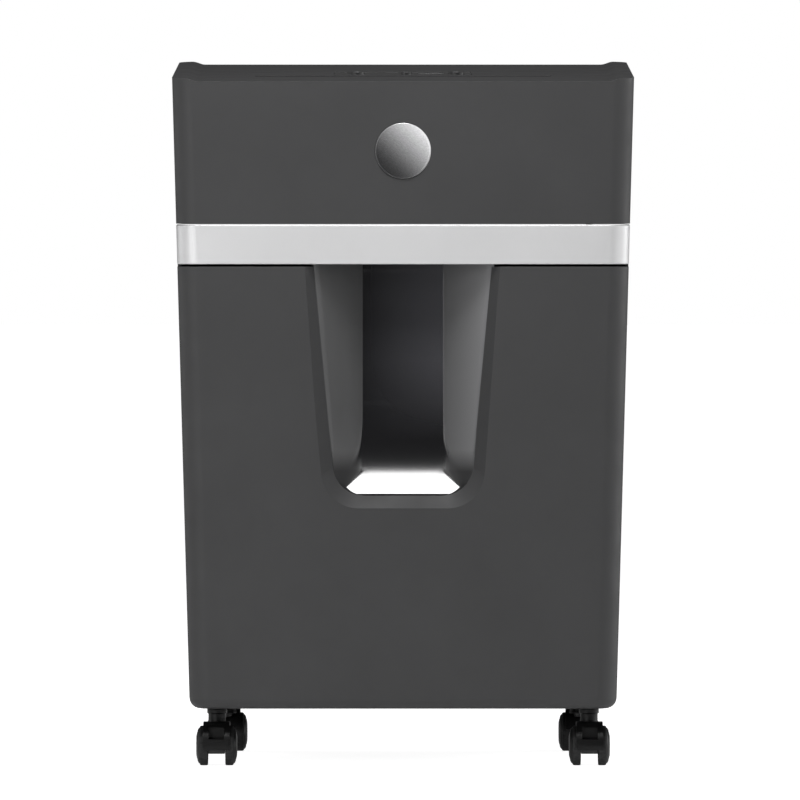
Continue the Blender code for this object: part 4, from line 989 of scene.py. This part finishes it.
def scoop_depth(z):
    """Depth of the back wall behind the face: near upright, then swinging forward to the foot."""
    if z >= SCOOP_KNEE_Z:
        share = (z - SCOOP_KNEE_Z) / (BAND_BOTTOM - SCOOP_KNEE_Z)
        return SCOOP_KNEE_DEPTH + (SCOOP_BACK_DEPTH - SCOOP_KNEE_DEPTH) * min(share, 1)
    share = (SCOOP_KNEE_Z - z) / (SCOOP_KNEE_Z - SCOOP_EDGE)
    return SCOOP_KNEE_DEPTH - (SCOOP_KNEE_DEPTH - SCOOP_RIM_DEPTH) * min(share, 1) ** 2


def inner_half(z):
    """Half-width of the opening behind the rim at a height, with its round lower corners."""
    side = SCOOP_INNER_HALF - SCOOP_INNER_SLOPE * (BAND_BOTTOM - z)
    lean = math.atan(SCOOP_INNER_SLOPE)
    centre_z = SCOOP_EDGE + SCOOP_INNER_CORNER
    centre_x = SCOOP_INNER_HALF - SCOOP_INNER_SLOPE * (BAND_BOTTOM - centre_z)
    centre_x -= SCOOP_INNER_CORNER / math.cos(lean)
    drop = centre_z - z
    if drop <= SCOOP_INNER_CORNER * math.sin(lean):
        return side
    return centre_x + math.sqrt(max(SCOOP_INNER_CORNER**2 - drop**2, 0))


def below_knee(z):
    """How far down from the knee to the foot a height is: 0 to 1."""
    return max((SCOOP_KNEE_Z - z) / (SCOOP_KNEE_Z - SCOOP_EDGE), 0)


def scoop_crease(z, front_half):
    """Half-width of the back wall, which widens towards the lower edge."""
    half = SCOOP_BACK_HALF + FOOT_SPREAD * below_knee(z) ** FOOT_SPREAD_POWER
    return min(half, front_half - CREASE_ROOM)


def scoop_section(z, inset):
    """One row of the window: side wall, soft crease, back wall, crease, side wall."""
    start = SCOOP_RIM_DEPTH + GAP
    half = inner_half(z) + inset
    depth = max(scoop_depth(z), start + THINNEST) + inset
    crease = min(scoop_crease(z, inner_half(z)) + inset * 0.6, half - THINNEST)
    front = Vector((half, start))
    corner = Vector((crease, depth))
    side = front - corner
    soft = min(CREASE_SOFT + FOOT_SOFT * below_knee(z) ** 3, side.length * 0.45, crease * 0.4)
    along = corner + side.normalized() * soft
    back = corner + Vector((-soft, 0))
    points = [front + (along - front) * k / SIDE_STEPS for k in range(SIDE_STEPS)]
    for k in range(CREASE_STEPS + 1):
        t = k / CREASE_STEPS
        points.append(along * (1 - t) ** 2 + corner * 2 * t * (1 - t) + back * t**2)
    right = [(p.x, p.y) for p in points]
    flat = [(back.x * (1 - 2 * k / BACK_STEPS), back.y) for k in range(1, BACK_STEPS)]
    left = [(-x, d) for x, d in reversed(right)]
    return [on_face(x, z, d) for x, d in right + flat + left]


def make_scoop():
    """The smoked window as a smooth shell with a skin on both sides."""
    top = SCOOP_ROOF_Z - SCOOP_WALL
    inside, outside = [], []
    for k in range(SCOOP_ROWS + 1):
        eased = 1 - (1 - k / SCOOP_ROWS) ** ROW_EASE
        z = top - (top - SCOOP_EDGE - SCOOP_FOOT_GAP) * eased
        inside.append(scoop_section(z, 0.0))
        outside.append(scoop_section(z, SCOOP_WALL))
    bm = bmesh.new()
    skins = []
    for rows in (inside, outside):
        skins.append([[bm.verts.new(point) for point in row] for row in rows])
    roof = [bm.verts.new((point[0], point[1], SCOOP_ROOF_Z)) for point in outside[0]]
    for rows in (skins[0], [roof] + skins[1]):
        for row, below in zip(rows, rows[1:]):
            for i in range(len(row) - 1):
                bm.faces.new((row[i], row[i + 1], below[i + 1], below[i]))
    inner, outer = skins
    bm.faces.new(inner[0])
    bm.faces.new(roof)
    for end in (0, -1):
        for k in range(SCOOP_ROWS):
            bm.faces.new((inner[k][end], inner[k + 1][end], outer[k + 1][end], outer[k][end]))
        bm.faces.new((inner[0][end], outer[0][end], roof[end]))
    for i in range(len(inner[-1]) - 1):
        bm.faces.new((inner[-1][i], inner[-1][i + 1], outer[-1][i + 1], outer[-1][i]))
    window = from_bmesh(bm, "scoop")
    soften(window, 0.0, angle=40)
    done(window, SMOKED, "bin", "scoop_window", slot="smoked_gloss_plastic")


# ---- casters


WHEEL_RADIUS = 0.0150
HUB_RADIUS = 0.0136
TREAD_INNER = 0.0137
TREAD_SHOULDER = 0.0145
WHEEL_STEPS = 64
AXLE_RADIUS = 0.0025
STEM_RADIUS = 0.0040
HOOD_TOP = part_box("caster_hood_front_left")[1].z
HOOD_INNER = 0.0162
HOOD_OUTER = 0.0182
HOOD_HALF = 0.0100
# Angles in degrees, from the hood's low end over its top to the other low end.
HOOD_ARC = (-8, 172)
WEB_ARC = (-4, 168)
WEB_HALF = 0.0061
WEB_OVERLAP = 0.0010
WEB_FOOT = [(-0.0070, -0.0060), (0.0060, -0.0060)]
NECK_RADIUS = 0.0075
NECK_WAIST = NECK_RADIUS - 0.0009
NECK_BOTTOM = 0.0301
STEM_BORE_LOW = 0.0270
STEM_BORE_HIGH = 0.0600
NOTCH_DEPTH = 0.0085
NOTCH_HALF = 0.0058
NOTCH_BOTTOM = 0.0205
NOTCH_TOP = 0.0292
NOTCH_OVERRUN = 0.0020


def make_hood(name, facing):
    """Fender, web and neck of one caster, with a notch in the fender and a waist in the neck."""
    stem = middle(f"caster_stem_{name}")
    axle_y = middle(f"caster_axle_{name}").y
    upper = arc(0, 0, HOOD_OUTER, *HOOD_ARC, 40)
    lower = arc(0, 0, HOOD_INNER, *reversed(HOOD_ARC), 40)
    outline = [(facing * y, z) for y, z in upper + lower]
    fender = prism("hood_" + name, [outline], -HOOD_HALF, HOOD_HALF)
    web = arc(0, 0, HOOD_INNER + WEB_OVERLAP, *WEB_ARC, 32) + WEB_FOOT
    hole = circle(0, 0, AXLE_RADIUS + GAP, 24)
    body = prism("web", [[(facing * y, z) for y, z in web], hole], -WEB_HALF, WEB_HALF)
    join(fender, body)
    shift(fender, 0, axle_y - stem.y, WHEEL_RADIUS)
    neck = [
        (0, HOOD_TOP),
        (NECK_RADIUS - 0.0012, HOOD_TOP),
        (NECK_RADIUS, HOOD_TOP - 0.0006),
        (NECK_RADIUS, HOOD_TOP - 0.0034),
        (NECK_WAIST, HOOD_TOP - 0.0042),
        (NECK_WAIST, NECK_BOTTOM + 0.0030),
        (NECK_RADIUS, NECK_BOTTOM + 0.0014),
        (NECK_RADIUS, NECK_BOTTOM),
        (0, NECK_BOTTOM),
    ]
    join(fender, turned("neck", neck))
    cut(fender, rod("bore", STEM_RADIUS + GAP, STEM_BORE_LOW, STEM_BORE_HIGH, 32))
    front_y = axle_y - stem.y + facing * HOOD_OUTER
    back_y = front_y - facing * NOTCH_DEPTH
    notch_low = (-NOTCH_HALF, min(front_y, back_y) - NOTCH_OVERRUN, NOTCH_BOTTOM)
    notch_high = (NOTCH_HALF, max(front_y, back_y) + NOTCH_OVERRUN, NOTCH_TOP)
    cut(fender, box("notch", notch_low, notch_high))
    shift(fender, stem.x, stem.y)
    soften(weld(fender), 0.0005, angle=30)
    done(fender, CASTER_BLACK, f"caster_{name}", f"caster_hood_{name}", slot="caster_black")


# Points of a wheel's profile: a radius, and how far in from its outer or its inner side.
HUB_OUTSIDE = (
    (0, 0.0007), (0.0028, 0.0006), (0.0034, 0.0013), (0.0040, 0.0014), (0.0046, 0.0004),
    (0.0075, 0.0001), (0.0100, 0.0007), (0.0104, 0.0014), (0.0110, 0.0015), (0.0114, 0.0010),
    (0.0128, 0.0016), (HUB_RADIUS, 0.0024),
)
HUB_INSIDE = (
    (HUB_RADIUS, 0.0006), (0.0100, 0.0006), (0.0092, 0.0018), (0.0062, 0.0018), (0.0054, 0.0002),
    (AXLE_RADIUS + GAP, 0.0002),
)
HUB_BORE = ((AXLE_RADIUS + GAP, 0.0022), (0, 0.0022))
TREAD_OUTSIDE = (
    (TREAD_INNER, 0.0027), (TREAD_SHOULDER, 0.0029), (WHEEL_RADIUS - 0.0002, 0.0034),
    (WHEEL_RADIUS, 0.0040),
)
TREAD_INSIDE = (
    (WHEEL_RADIUS, 0.0010), (WHEEL_RADIUS - 0.0002, 0.0004), (TREAD_SHOULDER, 0), (TREAD_INNER, 0),
)


def make_wheel(name, half, sign):
    """One wheel: a domed hub with ring grooves, hollow behind, and a rubber-like tread round it."""
    node = f"caster_wheel_{name}_{half}"
    low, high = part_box(node)
    axle = middle(f"caster_axle_{name}")
    inner = min(abs(low.x - axle.x), abs(high.x - axle.x))
    outer = max(abs(low.x - axle.x), abs(high.x - axle.x))

    def profile_of(outside, inside, bore=()):
        points = [(radius, outer - depth) for radius, depth in outside]
        points += [(radius, inner + depth) for radius, depth in inside]
        return points + [(radius, outer - depth) for radius, depth in bore]

    hub = profile_of(HUB_OUTSIDE, HUB_INSIDE, HUB_BORE)
    tread = profile_of(TREAD_OUTSIDE, TREAD_INSIDE)
    if sign < 0:
        hub = [(radius, -height) for radius, height in reversed(hub)]
        tread = [(radius, -height) for radius, height in reversed(tread)]
    body = f"wheel_{name}_{half}"
    tread_name = f"tread_{name}_{half}"
    pieces = ((body, hub, CASTER_BLACK, [node]), (tread_name, tread, TREAD, []))
    for piece, profile, material, replaced in pieces:
        made = turned(piece, profile, WHEEL_STEPS, "X")
        shift(made, axle.x, axle.y, axle.z)
        soften(made, 0.0)
        done(made, material, body, *replaced, slot="caster_black")


def make_casters():
    for name in PLACES:
        make_hood(name, -1 if name.startswith("front") else 1)
        make_wheel(name, "a", -1)
        make_wheel(name, "b", 1)


# ---- parts that keep their CAD mesh


SOFTENED_NODES = (
    "bin_tub",
    "chassis_plate",
    "head_tray",
    "side_plate_left",
    "side_plate_right",
    "interlock_switch",
)
NODE_SOFT = 0.0003
NODE_SOFT_ANGLE = 40


def carry_over():
    """Give each CAD part that stays its material, and some of them slightly softened edges."""
    finishes = {
        INNER_BLACK: (
            "chassis_plate",
            "head_tray",
            "cord_gland",
            "paper_sensor",
            "interlock_switch",
            "bin_tub",
        ),
        THROAT_BLACK: ("feed_throat",),
        ZINC: ("side_plate_left", "side_plate_right", "tie_bar", "comb_front", "comb_rear"),
        KNIFE_STEEL: ("cutter_roller_front", "cutter_roller_rear", "idler_pin"),
        GEAR_STEEL: ("roller_gear_front", "roller_gear_rear", "drive_gear"),
        BRASS: tuple(f"bush_{place}" for place in PLACES) + ("motor_pinion",),
        NYLON: ("idler_gear", "paper_sensor_lever", "interlock_plunger"),
        STATOR: ("motor_housing",),
        WINDING: ("motor_armature",),
        BOARD: ("control_board",),
        BLACK_STEEL: tuple(f"caster_stem_{place}" for place in PLACES)
        + tuple(f"caster_axle_{place}" for place in PLACES),
    }
    for material, nodes in finishes.items():
        for node in nodes:
            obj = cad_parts[node]
            obj.data.materials.clear()
            obj.data.materials.append(material)
    for node in SOFTENED_NODES:
        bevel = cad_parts[node].modifiers.new("soft_edges", "BEVEL")
        bevel.width = NODE_SOFT
        bevel.segments = 2
        bevel.limit_method = "ANGLE"
        bevel.angle_limit = math.radians(NODE_SOFT_ANGLE)


# ---- stage, light and camera


FLOOR_RADIUS = 30.0
# The floor's glow as a light, and as the camera sees it.
FLOOR_GLOW = 0.15
FLOOR_SEEN = 0.90
# The strength of the surround's light from each side.
WORLD_FRONT = 0.06
WORLD_TOP = 0.14
WORLD_LEFT = 0.40
WORLD_RIGHT = 1.00
# Name, place, target, size and watts of each light.
LIGHTS = (
    ("overhead_strip", (0.0, -0.72, 1.45), (0, -0.1, 0.25), (0.30, 0.52), 16),
    ("key_left", (-0.85, -1.40, 0.50), (0, -0.12, 0.28), (0.9, 1.2), 9.3),
    ("fill_right", (2.0, -1.2, 0.8), (0, 0, 0.3), (1.3, 1.4), 8),
    ("rim_left", (-1.6, 0.35, 0.5), (0, 0, 0.3), (0.8, 1.2), 4),
    ("rim_right", (1.6, 0.35, 0.5), (0, 0, 0.3), (0.8, 1.2), 10),
)
CAMERA_X = -0.0023
CAMERA_Z = 0.399
CAMERA_DISTANCE = 6.0
AIM_Z = 0.2767
LENS_LENGTH = 360.0
SENSOR_WIDTH = 36.0


def make_stage():
    """A pale round floor, wide enough to fill the view from any side."""
    bm = bmesh.new()
    bmesh.ops.create_circle(bm, cap_ends=True, segments=96, radius=FLOOR_RADIUS)
    floor = from_bmesh(bm, "floor")
    floor.data.materials.append(floor_material())


def floor_material():
    """Pale matt paper, lit a little from within as a light table is, so that it stays white."""
    material, tree, shader = node_material("pale_floor", 0.0, 0.6, 0.2)
    cover = spread(tree, noise(tree, 2, 3), 0, 1)
    paper = blend_colours(tree, cover, (0.90, 0.90, 0.90), (0.92, 0.92, 0.92))
    paint(tree, shader, paper)
    shader.inputs["Emission Color"].default_value = (1, 1, 1, 1)
    path = tree.nodes.new("ShaderNodeLightPath")
    glow = spread(tree, path.outputs["Is Camera Ray"], FLOOR_GLOW, FLOOR_SEEN, 0.0, 1.0)
    tree.links.new(glow, shader.inputs["Emission Strength"])
    return material


def softbox(name, place, target, size, power):
    light = bpy.data.lights.new(name, "AREA")
    light.shape = "RECTANGLE"
    light.size, light.size_y = size
    light.energy = power
    lamp = new_object(name, light)
    lamp.location = place
    way = Vector(target) - Vector(place)
    lamp.rotation_euler = way.to_track_quat("-Z", "Y").to_euler()
    return lamp


def make_world():
    """A white surround to look at, whose light comes from the sides and the top."""
    world = bpy.data.worlds.new("studio")
    bpy.context.scene.world = world
    world.use_nodes = True
    tree = world.node_tree
    back = tree.nodes["Background"]
    back.inputs["Color"].default_value = (1, 1, 1, 1)
    place = tree.nodes.new("ShaderNodeTexCoord")
    axes = tree.nodes.new("ShaderNodeSeparateXYZ")
    tree.links.new(place.outputs["Generated"], axes.inputs["Vector"])
    left = spread(tree, axes.outputs["X"], WORLD_LEFT, 0.0, -0.95, -0.55)
    right = spread(tree, axes.outputs["X"], 0.0, WORLD_RIGHT, 0.75, 0.98)
    top = spread(tree, axes.outputs["Z"], WORLD_FRONT, WORLD_TOP, 0.15, 0.95)
    total = add(tree, add(tree, left, right), top)
    path = tree.nodes.new("ShaderNodeLightPath")
    strength = tree.nodes.new("ShaderNodeMix")
    tree.links.new(path.outputs["Is Camera Ray"], strength.inputs[0])
    tree.links.new(total, strength.inputs[2])
    strength.inputs[3].default_value = 1.0
    tree.links.new(strength.outputs[0], back.inputs["Strength"])


def make_lights():
    """A strip overhead that the scoop's foot mirrors, a key at the left, a fill and two rims."""
    for light in LIGHTS:
        softbox(*light)


def make_camera():
    """A long lens level with the band, that looks very slightly down."""
    camera = bpy.data.cameras.new("camera")
    camera.lens = LENS_LENGTH
    camera.sensor_width = SENSOR_WIDTH
    camera.clip_end = 100.0
    rig = new_object("camera", camera)
    face_y = -half_depth(BAND_TOP)
    rig.location = (CAMERA_X, face_y - CAMERA_DISTANCE, CAMERA_Z)
    aim = Vector((CAMERA_X, face_y, AIM_Z))
    rig.rotation_euler = (aim - rig.location).to_track_quat("-Z", "Y").to_euler()
    bpy.context.scene.camera = rig


make_cabinet()
make_bin_front()
make_band()
make_head()
make_badge()
make_panel()
make_lens()
make_buttons()
make_scoop()
make_casters()
carry_over()
make_stage()
make_world()
make_lights()
make_camera()
bpy.context.scene.view_settings.view_transform = "Standard"
